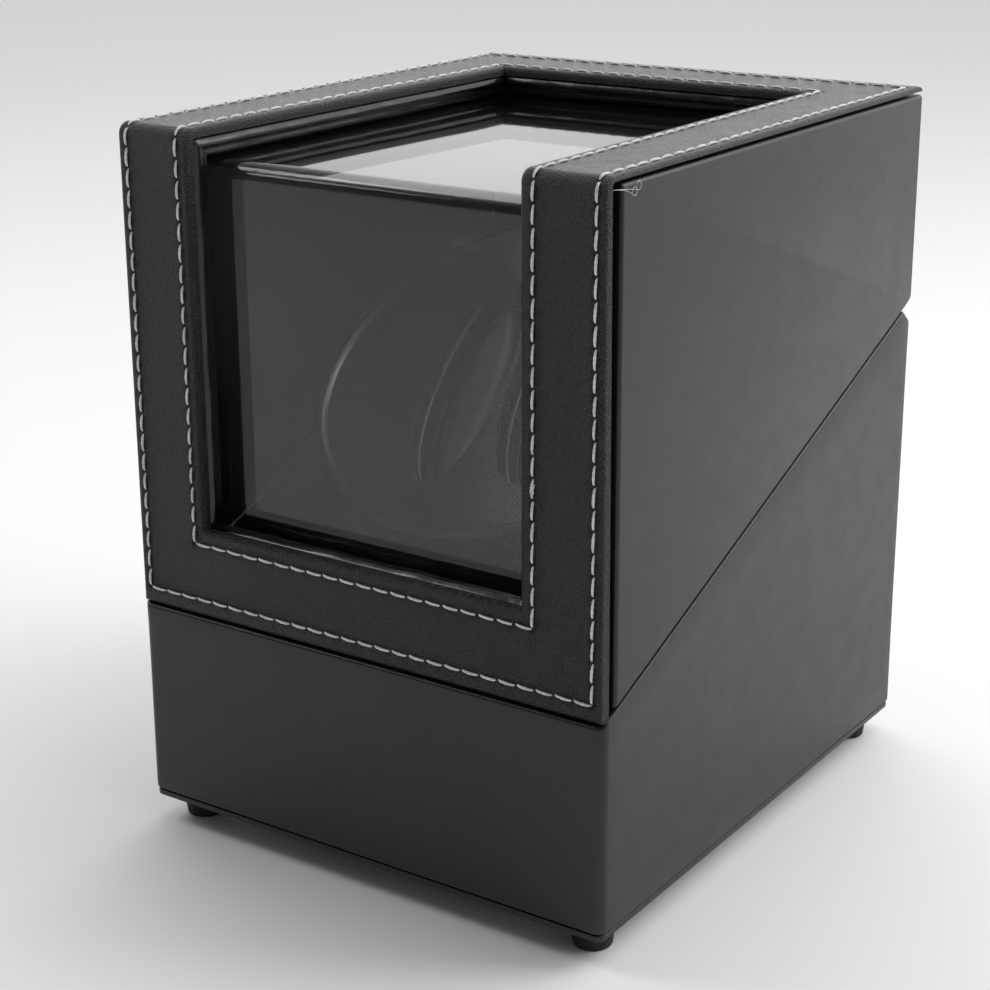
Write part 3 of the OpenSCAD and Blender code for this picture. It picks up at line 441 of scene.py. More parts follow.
SILL_S = WINDOW_SILL - FOOT_Z
REAR_S = along_of_y(WINDOW_BACK)
SEAM_SILL = SILL_S - 4.5 * MM
SEAM_REAR = REAR_S + 3.4 * MM
SEAMS = [
    ((-OUTER_SEAM_X, SEAM_FOOT), (OUTER_SEAM_X, SEAM_FOOT)),
    ((OUTER_SEAM_X, SEAM_FOOT), (OUTER_SEAM_X, SEAM_END)),
    ((OUTER_SEAM_X, SEAM_END), (-OUTER_SEAM_X, SEAM_END)),
    ((-OUTER_SEAM_X, SEAM_END), (-OUTER_SEAM_X, SEAM_FOOT)),
    ((-INNER_SEAM_X, SEAM_SILL), (INNER_SEAM_X, SEAM_SILL)),
    ((INNER_SEAM_X, SEAM_SILL), (INNER_SEAM_X, SEAM_REAR)),
    ((INNER_SEAM_X, SEAM_REAR), (-INNER_SEAM_X, SEAM_REAR)),
    ((-INNER_SEAM_X, SEAM_REAR), (-INNER_SEAM_X, SEAM_SILL)),
]


def band_point(x, s, h):
    """A point on the unrolled band: x across, s up the front and back along the top, h outwards."""
    if s < FRONT_LENGTH:
        return Vector((x, FRONT_Y - h, FOOT_Z + s))
    if s < FRONT_LENGTH + BEND_LENGTH:
        a = (s - FRONT_LENGTH) / BAND_BEND
        r = BAND_BEND + h
        return Vector((x, FRONT_Y + BAND_BEND - r * math.cos(a), TOP_Z - BAND_BEND + r * math.sin(a)))
    return Vector((x, FRONT_Y + BAND_BEND + s - FRONT_LENGTH - BEND_LENGTH, TOP_Z + h))


def band_normal(s):
    a = min(max((s - FRONT_LENGTH) / BAND_BEND, 0), math.pi / 2)
    return Vector((0, -math.cos(a), math.sin(a)))


def rolled(d, r):
    return 0.0 if d >= r else math.sqrt(max(0.0, r * r - (r - d) ** 2)) - r


def seam_dent(x, s):
    """Depth that the tight thread pulls into the leather, deeper at each needle hole."""
    dent = 0.0
    for (x0, s0), (x1, s1) in SEAMS:
        length = abs(x1 - x0) + abs(s1 - s0)
        along = (x - x0) * (x1 - x0) / length + (s - s0) * (s1 - s0) / length
        across = abs((x - x0) * (s1 - s0) / length - (s - s0) * (x1 - x0) / length)
        if -1 * MM < along < length + 1 * MM and across < 3 * MM:
            pull = 0.62 + 0.38 * math.cos(2 * math.pi * along / STITCH_PITCH)
            dent = max(dent, pull * math.exp(-((across / (0.85 * MM)) ** 2)))
    return dent * 0.42 * MM


def band_height(x, s):
    outer = min(BAND_X - abs(x), s, BAND_LENGTH - s)
    inner = math.hypot(max(abs(x) - WINDOW_X, 0), max(SILL_S - s, s - REAR_S, 0))
    wave = 0.07 * MM * noise.noise(Vector((x, s, 0.3)) / (13 * MM))
    flat = min(1.0, min(outer, inner) / (3 * MM))
    return rolled(outer, OUTER_ROLL) + rolled(inner, INNER_ROLL) - seam_dent(x, s) + wave * flat


def edge_lines(edge, direction, r):
    return [edge + direction * r * (1 - math.cos(math.radians(a))) for a in (0, 15, 30, 45, 60, 75, 90)]


def seam_lines(place):
    return [place + offset * MM for offset in (-1.8, -1.2, -0.8, -0.4, 0, 0.4, 0.8, 1.2, 1.8)]


def band_mesh():
    xs = spaced(-BAND_X, BAND_X, 3 * MM)
    for side in (-1, 1):
        xs += edge_lines(side * BAND_X, -side, OUTER_ROLL) + edge_lines(side * WINDOW_X, side, INNER_ROLL)
        xs += seam_lines(side * OUTER_SEAM_X) + seam_lines(side * INNER_SEAM_X)
    ss = spaced(0, BAND_LENGTH, STITCH_PITCH / 4) + spaced(FRONT_LENGTH, FRONT_LENGTH + BEND_LENGTH, 0.5 * MM)
    ss += edge_lines(0, 1, OUTER_ROLL) + edge_lines(BAND_LENGTH, -1, OUTER_ROLL)
    ss += edge_lines(SILL_S, -1, INNER_ROLL) + edge_lines(REAR_S, 1, INNER_ROLL)
    for place in (SEAM_FOOT, SEAM_END, SEAM_SILL, SEAM_REAR):
        ss += seam_lines(place)
    keep_x = [-BAND_X, BAND_X, -WINDOW_X, WINDOW_X]
    keep_s = [0, BAND_LENGTH, SILL_S, REAR_S]
    xs = merged([x for x in xs if all(abs(x - k) > 0.05 * MM for k in keep_x)] + keep_x, 0.04 * MM)
    ss = merged([s for s in ss if all(abs(s - k) > 0.05 * MM for k in keep_s)] + keep_s, 0.04 * MM)
    vertices, faces, places = [], [], {}

    def vertex(i, j, depth=0.0):
        key = (i, j, depth > 0)
        if key not in places:
            places[key] = len(vertices)
            x, s = xs[i], ss[j]
            vertices.append(band_point(x, s, band_height(x, s)) - band_normal(s) * depth)
        return places[key]

    def cell_open(i, j):
        if not (0 <= i < len(xs) - 1 and 0 <= j < len(ss) - 1):
            return True
        x, s = (xs[i] + xs[i + 1]) / 2, (ss[j] + ss[j + 1]) / 2
        return abs(x) < WINDOW_X and SILL_S < s < REAR_S

    def lip(i, j, outer):
        if not outer:
            return 1.2 * MM
        front = min(1.0, max(0.0, (FRONT_LENGTH + BEND_LENGTH - ss[j]) / BEND_LENGTH))
        lower = max(0.0, 1 - ss[j] / FRONT_LENGTH)
        return (0.15 + (0.9 + 1.3 * lower) * front) * MM

    for i in range(len(xs) - 1):
        for j in range(len(ss) - 1):
            if cell_open(i, j):
                continue
            faces.append([vertex(i, j), vertex(i + 1, j), vertex(i + 1, j + 1), vertex(i, j + 1)])
            for di, dj, a, b in ((-1, 0, (i, j + 1), (i, j)), (1, 0, (i + 1, j), (i + 1, j + 1)),
                                 (0, -1, (i, j), (i + 1, j)), (0, 1, (i + 1, j + 1), (i, j + 1))):
                if cell_open(i + di, j + dj):
                    outer = not (0 <= i + di < len(xs) - 1 and 0 <= j + dj < len(ss) - 1)
                    faces.append([vertex(*b), vertex(*a),
                                  vertex(*a, lip(*a, outer)), vertex(*b, lip(*b, outer))])
    return mesh_from("band", vertices, faces, 50)


# One stitch: a two-ply thread that leaves one hole, lies over the leather and enters the next
STITCH_RINGS, STITCH_SIDES = 9, 10
THREAD_R = 0.37 * MM


def add_stitch(vertices, faces, place, start, end, slant, plump=1.0):
    first = len(vertices)
    for i in range(STITCH_RINGS):
        t = i / (STITCH_RINGS - 1)
        x, s = (start[k] + (end[k] - start[k]) * t for k in (0, 1))
        side = Vector((end[1] - start[1], start[0] - end[0])).normalized()
        sway = slant * (t - 0.5) + 0.05 * MM * math.sin(math.pi * t)
        x, s = x + side.x * sway, s + side.y * sway
        rise = (-0.55 + 0.72 * math.sin(math.pi * t) ** 0.4) * MM
        centre = place(x, s, rise)
        up = band_normal(s)
        step_x, step_s = (end[0] - start[0]) * 0.01, (end[1] - start[1]) * 0.01
        ahead = (place(x + step_x, s + step_s, rise) - centre).normalized()
        across = ahead.cross(up).normalized()
        thick = THREAD_R * plump * (0.55 + 0.45 * math.sin(math.pi * t) ** 0.4)
        for k in range(STITCH_SIDES):
            a = 2 * math.pi * k / STITCH_SIDES
            ply = 1 + 0.13 * math.cos(2 * a + 7 * math.pi * t)
            vertices.append(centre + thick * ply * (math.cos(a) * across + math.sin(a) * up))
    for i in range(STITCH_RINGS - 1):
        for k in range(STITCH_SIDES):
            a, b = first + i * STITCH_SIDES + k, first + i * STITCH_SIDES + (k + 1) % STITCH_SIDES
            faces.append([a, b, b + STITCH_SIDES, a + STITCH_SIDES])
    faces.append([first + k for k in range(STITCH_SIDES)][::-1])
    faces.append([first + (STITCH_RINGS - 1) * STITCH_SIDES + k for k in range(STITCH_SIDES)])


def add_hole(vertices, faces, x, s, size):
    """A dimple where the needle went through, coloured near-black as painted shade in the hole."""
    first = len(vertices)
    sides = 8
    h = band_height(x, s)
    vertices.append(band_point(x, s, h - 0.05 * MM))
    for k in range(sides):
        a = 2 * math.pi * k / sides
        vertices.append(band_point(x + size * math.cos(a), s + size * math.sin(a), h + 0.09 * MM))
    for k in range(sides):
        faces.append([first, first + 1 + k, first + 1 + (k + 1) % sides])


def stitching():
    threads, thread_faces, holes, hole_faces = [], [], [], []
    for (x0, s0), (x1, s1) in SEAMS:
        length = abs(x1 - x0) + abs(s1 - s0)
        count = round(length / STITCH_PITCH)
        ux, us = (x1 - x0) / length, (s1 - s0) / length
        pitch = length / count
        for i in range(count):
            gap = (0.16 + 0.10 * random.random()) * MM
            a, b = i * pitch + gap, (i + 1) * pitch - gap
            wobble = 0.10 * MM * (random.random() - 0.5)
            start = (x0 + ux * a - us * wobble, s0 + us * a + ux * wobble)
            end = (x0 + ux * b - us * wobble, s0 + us * b + ux * wobble)
            add_stitch(threads, thread_faces, band_point, start, end, (0.30 + 0.14 * random.random()) * MM,
                       0.94 + 0.12 * random.random())
            aside = 0.30 * MM
            hole_x = x0 + ux * i * pitch - abs(us) * aside
            hole_s = s0 + us * i * pitch - abs(ux) * aside
            add_hole(holes, hole_faces, hole_x, hole_s, 0.55 * MM)
    knot_s = SEAM_SILL + 0.33 * (FRONT_LENGTH - SEAM_SILL)
    for shift in (-0.45, 0.35):
        add_stitch(threads, thread_faces, band_point, (INNER_SEAM_X + shift * MM, knot_s - 1.6 * MM),
                   (INNER_SEAM_X - shift * MM, knot_s + 1.4 * MM), 0.3 * MM, 1.15)
    add_piece("stitches", mesh_from("stitches", threads, thread_faces, 60), "lid", THREAD)
    hole_mesh = mesh_from("needle_holes", holes, hole_faces, 60)
    add_piece("needle_holes", hole_mesh, "lid", HOLE_SHADE)


def thin_fibre(points, r, sides=5):
    """Tube along a list of points."""
    vertices, faces = [], []
    last = len(points) - 1
    for i, p in enumerate(points):
        ahead = (points[min(i + 1, last)] - points[max(i - 1, 0)]).normalized()
        across = ahead.cross(Vector((1, 0, 0.2))).normalized()
        up = across.cross(ahead)
        angles = [2 * math.pi * k / sides for k in range(sides)]
        vertices += [p + r * (math.cos(a) * across + math.sin(a) * up) for a in angles]
    for i in range(last):
        for k in range(sides):
            a, b = i * sides + k, i * sides + (k + 1) % sides
            faces.append([a, b, b + sides, a + sides])
    return vertices, faces


CURL_R = 1.1 * MM


def loose_thread():
    """Two loose fibres at the top of the right post, curling over the side panel."""
    start = Vector((BAND_X + 0.2 * MM, FRONT_Y + 2 * MM, TOP_Z - 3.2 * MM))
    vertices, faces = [], []
    for reach, lift, drop in ((8.5 * MM, 0.6 * MM, 2.6 * MM), (10.5 * MM, 0.2 * MM, 1.4 * MM)):
        points = []
        for i in range(60):
            t = i / 59
            along = reach * min(t, 0.7) / 0.7
            height = lift * math.sin(math.pi * min(t, 0.7) / 0.7) - drop * min(t, 0.7) / 0.7
            if t > 0.7:
                a = (t - 0.7) / 0.3 * 1.6 * math.pi
                along += CURL_R * math.sin(a)
                height += CURL_R * (1 - math.cos(a))
            points.append(start + Vector((1.0 * MM * math.sqrt(min(1, 3 * t)), along, height)))
        v, f = thin_fibre(points, 0.05 * MM)
        faces += [[len(vertices) + k for k in face] for face in f]
        vertices += v
    add_piece("loose_thread", mesh_from("loose_thread", vertices, faces), "lid", THREAD)


# ---------------------------------------------------------------- padded lining of the opening

ROLL_ACROSS = 26
ROLL_SINK = 1.3 * MM


def roll_profile(u):
    """Height of the lining across its width: a thin bead, a crease, then a fat roll with a shallow valley."""
    if u < 0.12:
        return 0.38 * math.sin(math.pi * u / 0.12) ** 0.6
    valley = 0.20 * math.exp(-(((u - 0.62) / 0.11) ** 2))
    return math.sin(math.pi * (u - 0.12) / 0.88) ** 0.5 * (1 - valley)


def padded_strip(rows, outward, puff, seed):
    """A soft roll over pairs of near and far points; both of its ends pucker into the corners."""
    lengths = [0.0]
    for (a, _), (b, _) in zip(rows, rows[1:]):
        lengths.append(lengths[-1] + (b - a).length)
    vertices, faces = [], []
    for i, (near, far) in enumerate(rows):
        pucker = math.exp(-min(lengths[i], lengths[-1] - lengths[i]) / (3.5 * MM))
        for j in range(ROLL_ACROSS + 1):
            u = j / ROLL_ACROSS
            place = near.lerp(far, u)
            ripple = noise.noise(place / (11 * MM) + Vector((seed, 0, 0)))
            crease = noise.noise(Vector((lengths[i] / (1.8 * MM), u * 2, seed)))
            soft = 1 + 0.13 * ripple + 0.32 * pucker * crease
            vertices.append(place + outward * puff * roll_profile(u) * soft)
        for j in range(ROLL_ACROSS):
            if i < len(rows) - 1:
                a = i * (ROLL_ACROSS + 1) + j
                faces.append([a, a + 1, a + ROLL_ACROSS + 2, a + ROLL_ACROSS + 1])
    return vertices, faces


def reveal_lining():
    """Padded rolls up each post and back along the top, across the sill and across the back."""
    x = WINDOW_X + LINING
    far_y, far_z = RAIL_LOW.y, PANE_HIGH.z
    sill, rear = WINDOW_SILL - LINING, WINDOW_BACK + LINING
    puff = 3.3 * MM
    strips = []
    for side in (-1, 1):
        rows = []
        for along in spaced(SILL_S - LINING, REAR_S + LINING, 0.9 * MM):
            near = band_point(side * x, along, -ROLL_SINK)
            rows.append((near, Vector((near.x, max(near.y, far_y), min(near.z, far_z)))))
        strips.append((rows, Vector((-side, 0, 0))))
    across = spaced(-x, x, 0.9 * MM)
    near, top = FRONT_Y + ROLL_SINK, TOP_Z - ROLL_SINK
    strips.append(([(Vector((w, near, sill)), Vector((w, far_y, sill))) for w in across], Vector((0, 0, 1))))
    strips.append(([(Vector((w, rear, top)), Vector((w, rear, far_z))) for w in across], Vector((0, -1, 0))))
    vertices, faces = [], []
    for seed, (rows, outward) in enumerate(strips):
        v, f = padded_strip(rows, outward, puff, 3.7 * seed)
        faces += [[len(vertices) + k for k in face] for face in f]
        vertices += v
    mesh = bpy.data.meshes.new("reveal")
    mesh.from_pydata([tuple(v) for v in vertices], [], faces)
    smooth(mesh, 80)
    piece = add_piece("padded_reveal", mesh, "lid",
                      MATERIALS["satin_lining"], ["reveal_lining"])


# ---------------------------------------------------------------- clear sheet


def pane():
    """The bent sheet, with a smooth bend and small polished edges."""
    thick = 2.4 * MM
    bend = 5 * MM
    x = PANE_HIGH.x
    y0, z1 = PANE_LOW.y, PANE_HIGH.z
    centre = Vector((0, y0 + bend, z1 - bend))

    def profile(r):
        inset = bend - r
        points = [Vector((0, y0 + inset, PANE_LOW.z)), Vector((0, y0 + inset, (PANE_LOW.z + z1) / 2))]
        for i in range(19):
            a = math.radians(90 * i / 18)
            points.append(centre + r * Vector((0, -math.cos(a), math.sin(a))))
        points += [Vector((0, (y0 + PANE_HIGH.y) / 2, z1 - inset)), Vector((0, PANE_HIGH.y, z1 - inset))]
        return points

    outline = profile(bend) + profile(bend - thick)[::-1]
    count = len(outline)
    vertices = [p + Vector((side * x, 0, 0)) for side in (-1, 1) for p in outline]
    faces = [[i, (i + 1) % count, count + (i + 1) % count, count + i] for i in range(count)]
    half = count // 2
    for side in (0, count):
        for i in range(half - 1):
            faces.append([side + i, side + i + 1, side + count - 2 - i, side + count - 1 - i])
    mesh = mesh_from("pane", vertices, faces, 30)
    add_piece("clear_pane", mesh, "lid", MATERIALS["clear_acrylic"], ["acrylic_window"])


# ---------------------------------------------------------------- leather wrap of the base


def base_top(y):
    """Height of the base's upper edge: the parting plane, then the chamfer at the hinge."""
    parting = FOOT_Z - PARTING_GAP + (y - FRONT_Y) * PARTING_SLOPE
    chamfer = HINGE.z - NOTCH_DROP + (BACK_HIGH.y - y) * (NOTCH_DROP + NOTCH_RISE) / NOTCH_DEPTH
    return min(parting, chamfer)


def base_wrap():
    """One leather skin round all four walls, rolled over the upper and lower edges."""
    w, d, r = PANEL_HIGH.x, BACK_HIGH.y, 3 * MM
    t = PANEL_HIGH.y - PANEL_LOW.y
    roll = 1.1 * MM
    kink = d - NOTCH_DEPTH
    ring = []
    for x in spaced(-w + r, w - r, 6 * MM):
        ring.append((x, -d, 0, -1))
    corners = [(w - r, -d + r, -90), (w - r, d - r, 0), (-w + r, d - r, 90), (-w + r, -d + r, 180)]
    straights = [
        [(w, y, 1, 0) for y in merged(spaced(-d + r, d - r, 6 * MM) + [kink], 1 * MM)],
        [(x, d, 0, 1) for x in spaced(-w + r, w - r, 6 * MM)[::-1]],
        [(-w, y, -1, 0) for y in merged(spaced(-d + r, d - r, 6 * MM) + [kink], 1 * MM)[::-1]],
        [],
    ]
    for (cx, cy, a0), straight in zip(corners, straights):
        for i in range(1, 8):
            a = math.radians(a0 + 90 * i / 8)
            ring.append((cx + r * math.cos(a), cy + r * math.sin(a), math.cos(a), math.sin(a)))
        ring += straight
    angles = [math.radians(a) for a in (0, 22, 45, 68, 90)]
    columns = []
    for x, y, nx, ny in ring:
        out = Vector((x, y, 0))
        n = Vector((nx, ny, 0))
        inside = Vector((min(max(x, -w + t), w - t), min(max(y, -d + t), d - t), 0))
        top_out, top_in = base_top(y), base_top(inside.y)
        low = PANEL_LOW.z
        column = [inside + Vector((0, 0, low)), out - n * roll + Vector((0, 0, low))]
        column += [out - n * roll * (1 - math.sin(a)) + Vector((0, 0, low + roll * (1 - math.cos(a))))
                   for a in angles[1:]]
        steps = 9
        for i in range(1, steps):
            z = low + roll + (top_out - low - 2 * roll) * i / steps
            sag = 0.10 * MM * noise.noise(Vector((x, y, z)) / (34 * MM))
            column.append(out + n * (sag - 0.05 * MM) + Vector((0, 0, z)))
        column += [out - n * roll * (1 - math.cos(a)) + Vector((0, 0, top_out - roll * (1 - math.sin(a))))
                   for a in angles]
        column += [inside + n * roll * (1 - math.sin(a)) + Vector((0, 0, top_in - roll * (1 - math.cos(a))))
                   for a in angles]
        columns.append(column)
    count, rows = len(columns), len(columns[0])
    vertices = [v for column in columns for v in column]
    faces = []
    for i in range(count):
        k = (i + 1) % count
        for j in range(rows):
            m = (j + 1) % rows
            faces.append([i * rows + j, k * rows + j, k * rows + m, i * rows + m])
    mesh = mesh_from("wrap", vertices, faces, 50)
    nodes = ["base_front_panel", "base_back_panel", "base_left_panel", "base_right_panel"]
    piece = add_piece("base_wrap", mesh, "base", MATERIALS["leather_board"], nodes)
    rim = 4 * MM
    deep = 20 * MM
    recess = (Vector((PLATE_LOW.x + rim, BACK_LOW.y - deep / 4, PLATE_LOW.z + rim)),
              Vector((PLATE_HIGH.x - rim, d + deep, PLATE_HIGH.z - rim)))
    boxes = [recess]
    for node in ("base_hinge_leaf_left", "base_hinge_leaf_right"):
        low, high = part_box(node)
        boxes.append((Vector((low.x - 0.2 * MM, high.y - 1 * MM, low.z - 0.2 * MM)),
                      Vector((high.x + 0.2 * MM, d + deep, high.z + 10 * MM))))
    cut(piece, boxes)


# ---------------------------------------------------------------- rotor dish

ROTOR_RIGHT = Vector((1, 0, 0))
ROTOR_UP = ROTOR_AXIS.cross(ROTOR_RIGHT)
ROTOR_R = 62.5 * MM
RIM_BEAD = 2 * MM
WELL_HALF_W, WELL_HALF_L = 12.8 * MM, 41 * MM
WELL_OFFSET = WELL_HALF_W + 1.5 * MM
WELL_TURN = math.radians(11)
WELL_WALLS = [(6 * MM, -0.9 * MM, 0.5 * MM), (5 * MM, 0.9 * MM, 2.1 * MM), (8.5 * MM, 2.4 * MM, 3.6 * MM)]


PLATE_HEIGHT = -1.5 * MM


def ease(low, high, value):
    t = min(1.0, max(0.0, (value - low) / (high - low)))
    return t * t * (3 - 2 * t)


def dish_height(x, y):
    """Height of the dish below its rim: two oval wells whose walls go down in three soft steps."""
    turned_x = x * math.cos(WELL_TURN) + y * math.sin(WELL_TURN)
    turned_y = y * math.cos(WELL_TURN) - x * math.sin(WELL_TURN)
    height = PLATE_HEIGHT
    for side in (-1, 1):
        u, v = (turned_x - side * WELL_OFFSET) / WELL_HALF_W, turned_y / WELL_HALF_L
        rho = math.hypot(u, v)
        slope = math.hypot(u / WELL_HALF_W, v / WELL_HALF_L) / max(rho, 1e-6)
        inset = (1 - rho) / max(slope, 1 / WELL_HALF_L) if rho > 0.3 else WELL_HALF_W
        height -= sum(drop * ease(start, end, inset) for drop, start, end in WELL_WALLS)
    return height


def on_rotor(x, y, height):
    return ROTOR + x * ROTOR_RIGHT + y * ROTOR_UP + height * ROTOR_AXIS


def dish_top(edge_r, sectors):
    """The plate and its two wells, with mesh lines that run round each well's lip and walls."""
    points, heights, edges = [], [], []

    def add_loop(outline, height):
        first, count = len(points), len(outline)
        points.extend(outline)
        heights.extend([height] * count)
        edges.extend((first + i, first + (i + 1) % count) for i in range(count))

    turns = [2 * math.pi * k / sectors for k in range(sectors)]
    add_loop([(edge_r * math.cos(a), edge_r * math.sin(a)) for a in turns], PLATE_HEIGHT)
    for side in (-1, 1):
        for inset in spaced(WELL_WALLS[0][1], WELL_WALLS[-1][2], 0.3 * MM):
            half_w, half_l = WELL_HALF_W - inset, WELL_HALF_L - inset
            outline = []
            for a in turns[::3]:
                u, v = side * WELL_OFFSET + half_w * math.cos(a), half_l * math.sin(a)
                outline.append((u * math.cos(WELL_TURN) - v * math.sin(WELL_TURN),
                                u * math.sin(WELL_TURN) + v * math.cos(WELL_TURN)))
            add_loop(outline, PLATE_HEIGHT - sum(d * ease(start, end, inset) for d, start, end in WELL_WALLS))
    flat = [Vector(p) / MM for p in points]
    flat, _, faces, sources, _, _ = delaunay_2d_cdt(flat, edges, [], 0, 1e-4)
    vertices = [on_rotor(p.x * MM, p.y * MM, heights[ids[0]]) for p, ids in zip(flat, sources)]
    return vertices, [list(f) for f in faces]


def rotor_dish():
    """The moulded dish as one smooth skin: wells, plate, beaded rim, skirt and underside."""
    sectors = 360
    plate_edge = ROTOR_R - 2 * RIM_BEAD
    rings = [(plate_edge, PLATE_HEIGHT)]
    for a in range(165, -1, -15):
        turn = math.radians(a)
        rings.append((ROTOR_R - RIM_BEAD * (1 - math.cos(turn)), RIM_BEAD * (math.sin(turn) - 1)))
    skirt_foot, skirt_inside = -12 * MM, ROTOR_R - 2 * MM
    rings += [(ROTOR_R, -7 * MM), (ROTOR_R, skirt_foot), (skirt_inside, skirt_foot), (skirt_inside, -4 * MM)]
    wall = 1.4 * MM
    rings += [(r, "under") for r in spaced(0.4 * MM, plate_edge, 1.6 * MM)[::-1]]
    vertices, faces = dish_top(plate_edge, sectors)
    first = len(vertices)
    for r, height in rings:
        for k in range(sectors):
            a = 2 * math.pi * k / sectors
            x, y = r * math.cos(a), r * math.sin(a)
            vertices.append(on_rotor(x, y, dish_height(x, y) - wall if height == "under" else height))
    for i in range(len(rings) - 1):
        for k in range(sectors):
            a = first + i * sectors + k
            b = first + i * sectors + (k + 1) % sectors
            faces.append([a, b, b + sectors, a + sectors])
    faces.append([first + (len(rings) - 1) * sectors + k for k in range(sectors)])
    mesh = mesh_from("dish", vertices, faces, 60)
    add_piece("moulded_dish", mesh, "rotor", MATERIALS["rotor_plastic"], ["rotor_dish"])


# ---------------------------------------------------------------- cushions


def cushion(node, seed):
    """A stuffed bolster: a crowned top, a piped seam round its side and soft creases."""
    mesh = frame["nodes"][node].data.copy()
    shape = bpy.data.objects.new("cushion_shape", mesh)
    bpy.context.scene.collection.objects.link(shape)
    modifier = shape.modifiers.new("remesh", "REMESH")
    modifier.mode = "VOXEL"
    modifier.voxel_size = 0.9 * MM
    done = bpy.data.meshes.new_from_object(shape.evaluated_get(bpy.context.evaluated_depsgraph_get()))
    bpy.data.objects.remove(shape)
    bm = bmesh.new()
    bm.from_mesh(done)
    for _ in range(10):
        bmesh.ops.smooth_vert(bm, verts=bm.verts, factor=0.5,
                              use_axis_x=True, use_axis_y=True, use_axis_z=True)
    heights = [(v.co - ROTOR).dot(ROTOR_AXIS) for v in bm.verts]
    low, high = min(heights), max(heights)
    seam = low + 0.52 * (high - low)
    bm.normal_update()
    for v, h in zip(bm.verts, heights):
        piping = 0.38 * MM * math.exp(-(((h - seam) / (0.5 * MM)) ** 2))
        pinch = -0.25 * MM * math.exp(-(((abs(h - seam) - 1.2 * MM) / (0.6 * MM)) ** 2))
        crease = 0.22 * MM * noise.noise(v.co / (5 * MM) + Vector((seed, 0, 0)))
        v.co += v.normal * (piping + pinch + crease)
    bm.to_mesh(done)
    bm.free()
    smooth(done, 80)
    piece = add_piece("stuffed_" + node, done, body_of_node(node),
                      MATERIALS["cushion_leather"], [node])


# ---------------------------------------------------------------- build the object

add_piece("band_leather", band_mesh(), "lid",
          MATERIALS["stitched_leather"], ["stitched_cover"])
stitching()
loose_thread()
reveal_lining()
pane()
base_wrap()
cushion("cushion_left", 1.0)
cushion("cushion_right", 5.0)
for panel in ("lid_left_panel", "lid_right_panel", "lid_back_panel"):
    refine(panel, 1.1 * MM, 4)
refine("base_floor", 0.6 * MM, 3)
rotor_dish()
for foot in ("foot_front_left", "foot_front_right", "foot_back_left", "foot_back_right"):
    refine(foot, 0.4 * MM, 3)
for part in ("control_plate", "dc_jack", "rocker_frame", "power_rocker", "mode_switch"):
    refine(part, 0.25 * MM, 2)
for part in ("base_hinge_leaf_left", "base_hinge_leaf_right", "lid_hinge_leaf_left",
             "lid_hinge_leaf_right", "motor_plate", "motor_can"):
    refine(part, 0.2 * MM, 2)
for name, cad in frame["nodes"].items():
    cad.data.materials.clear()
    cad.data.materials.append(MATERIALS[slot_of_node(name)])

# ---------------------------------------------------------------- studio


def look_from(azimuth, elevation, roll, distance, target):
    """Places a camera that looks at target from the given side, in degrees and metres."""
    az, el, turn = (math.radians(v) for v in (azimuth, elevation, roll))
    back = Vector((math.sin(az) * math.cos(el), -math.cos(az) * math.cos(el), math.sin(el)))
    right = Vector((math.cos(az), math.sin(az), 0))
    up = back.cross(right)
    right, up = right * math.cos(turn) + up * math.sin(turn), up * math.cos(turn) - right * math.sin(turn)
    data = bpy.data.cameras.new("camera")
    camera = bpy.data.objects.new("camera", data)
    bpy.context.scene.collection.objects.link(camera)
    place = Matrix((right, up, back)).transposed().to_4x4()
    place.translation = target + back * distance
    camera.matrix_world = place
    data.sensor_width = 36
    data.lens = 76.98
    data.shift_y = -0.0404
    data.clip_start = 0.01
    bpy.context.scene.camera = camera


case_bottom = FLOOR_LOW.z
look_from(34.31, 17.77, -0.27, 0.656, Vector((-0.0161, 0, case_bottom + 0.095)))


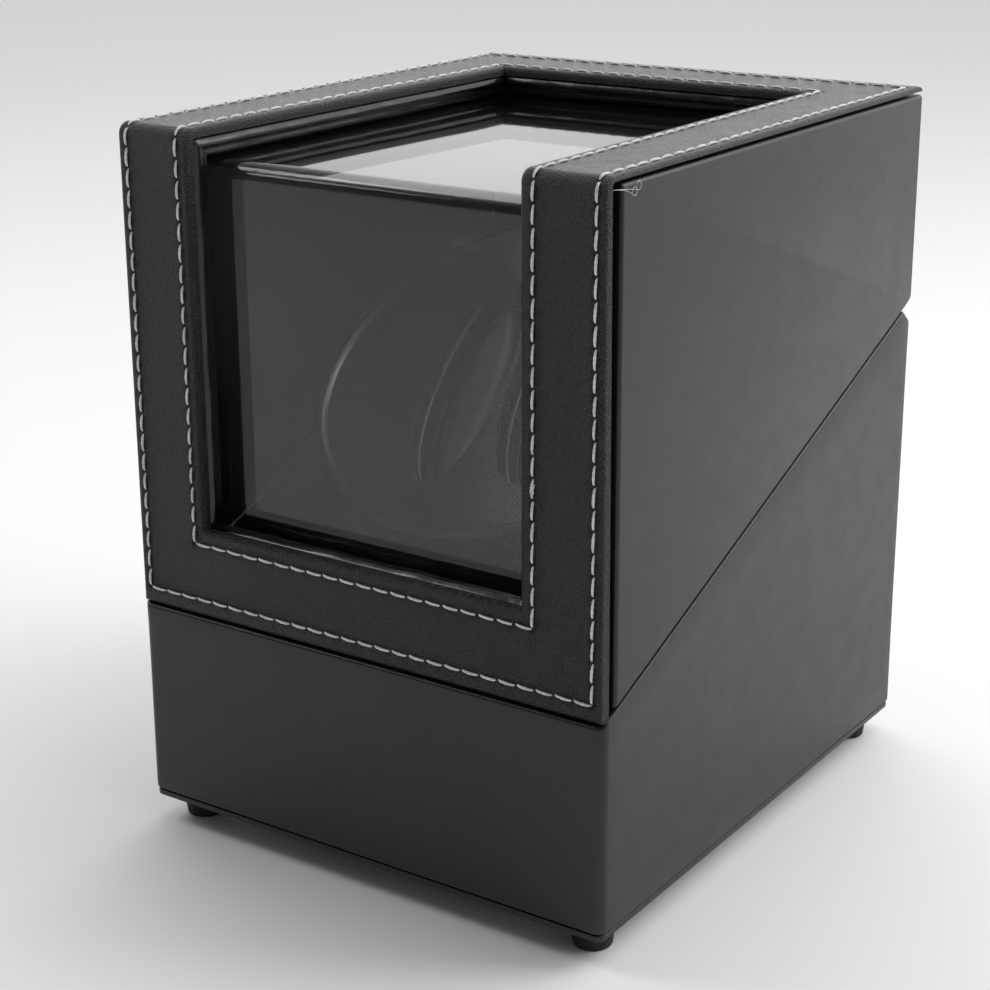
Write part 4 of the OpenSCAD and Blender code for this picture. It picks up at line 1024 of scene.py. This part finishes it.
def stage_floor():
    mesh = bpy.data.meshes.new("floor")
    half = 6.0
    corners = [(-half, -half, 0), (half, -half, 0), (half, half, 0), (-half, half, 0)]
    mesh.from_pydata(corners, [], [(0, 1, 2, 3)])
    s = Shader("pale_floor", (0.96, 0.96, 0.96), 0.8)
    s.drive("Base Color", s.tint(s.noise(0.4), (0.95, 0.95, 0.95), (0.98, 0.98, 0.98)))
    mesh.materials.append(s.material)
    floor = bpy.data.objects.new("floor", mesh)
    bpy.context.scene.collection.objects.link(floor)


def studio_world():
    """A soft white room that is bright behind the object and dark behind the camera."""
    world = bpy.data.worlds.new("studio")
    bpy.context.scene.world = world
    world.use_nodes = True
    nodes, links = world.node_tree.nodes, world.node_tree.links
    coords = nodes.new("ShaderNodeTexCoord")
    split = nodes.new("ShaderNodeSeparateXYZ")
    links.new(coords.outputs["Generated"], split.inputs["Vector"])

    def ramp(axis, low, high, start, end):
        node = nodes.new("ShaderNodeMapRange")
        node.interpolation_type = "SMOOTHSTEP"
        for socket, value in zip(("From Min", "From Max", "To Min", "To Max"), (low, high, start, end)):
            node.inputs[socket].default_value = value
        links.new(split.outputs[axis], node.inputs["Value"])
        return node.outputs["Result"]

    total = nodes.new("ShaderNodeMath")
    total.operation = "MULTIPLY"
    links.new(ramp("Y", -0.45, 0.55, 0.16, 1.5), total.inputs[0])
    links.new(ramp("Z", 0.35, 1.0, 1.0, 0.55), total.inputs[1])
    links.new(total.outputs["Value"], nodes["Background"].inputs["Strength"])
    nodes["Background"].inputs["Color"].default_value = (1, 1, 1, 1)


def softbox(name, place, aim, size, power):
    data = bpy.data.lights.new(name, "AREA")
    data.shape = "RECTANGLE"
    data.size, data.size_y = size
    data.energy = power
    light = bpy.data.objects.new(name, data)
    bpy.context.scene.collection.objects.link(light)
    light.matrix_world = (Vector(place) - Vector(aim)).to_track_quat("Z", "Y").to_matrix().to_4x4()
    light.location = Vector(place)


stage_floor()
studio_world()
middle = (0, 0, 0.1)
softbox("overhead", (0.1, 0.3, 1.5), middle, (1.4, 1.0), 4.5)
softbox("right_floor", (0.75, 0.55, 0.75), (0.5, 0.4, 0), (0.6, 0.6), 5)
softbox("left_high", (-0.9, -0.35, 1.0), middle, (0.35, 0.5), 3)
bpy.context.scene.view_settings.view_transform = "Standard"
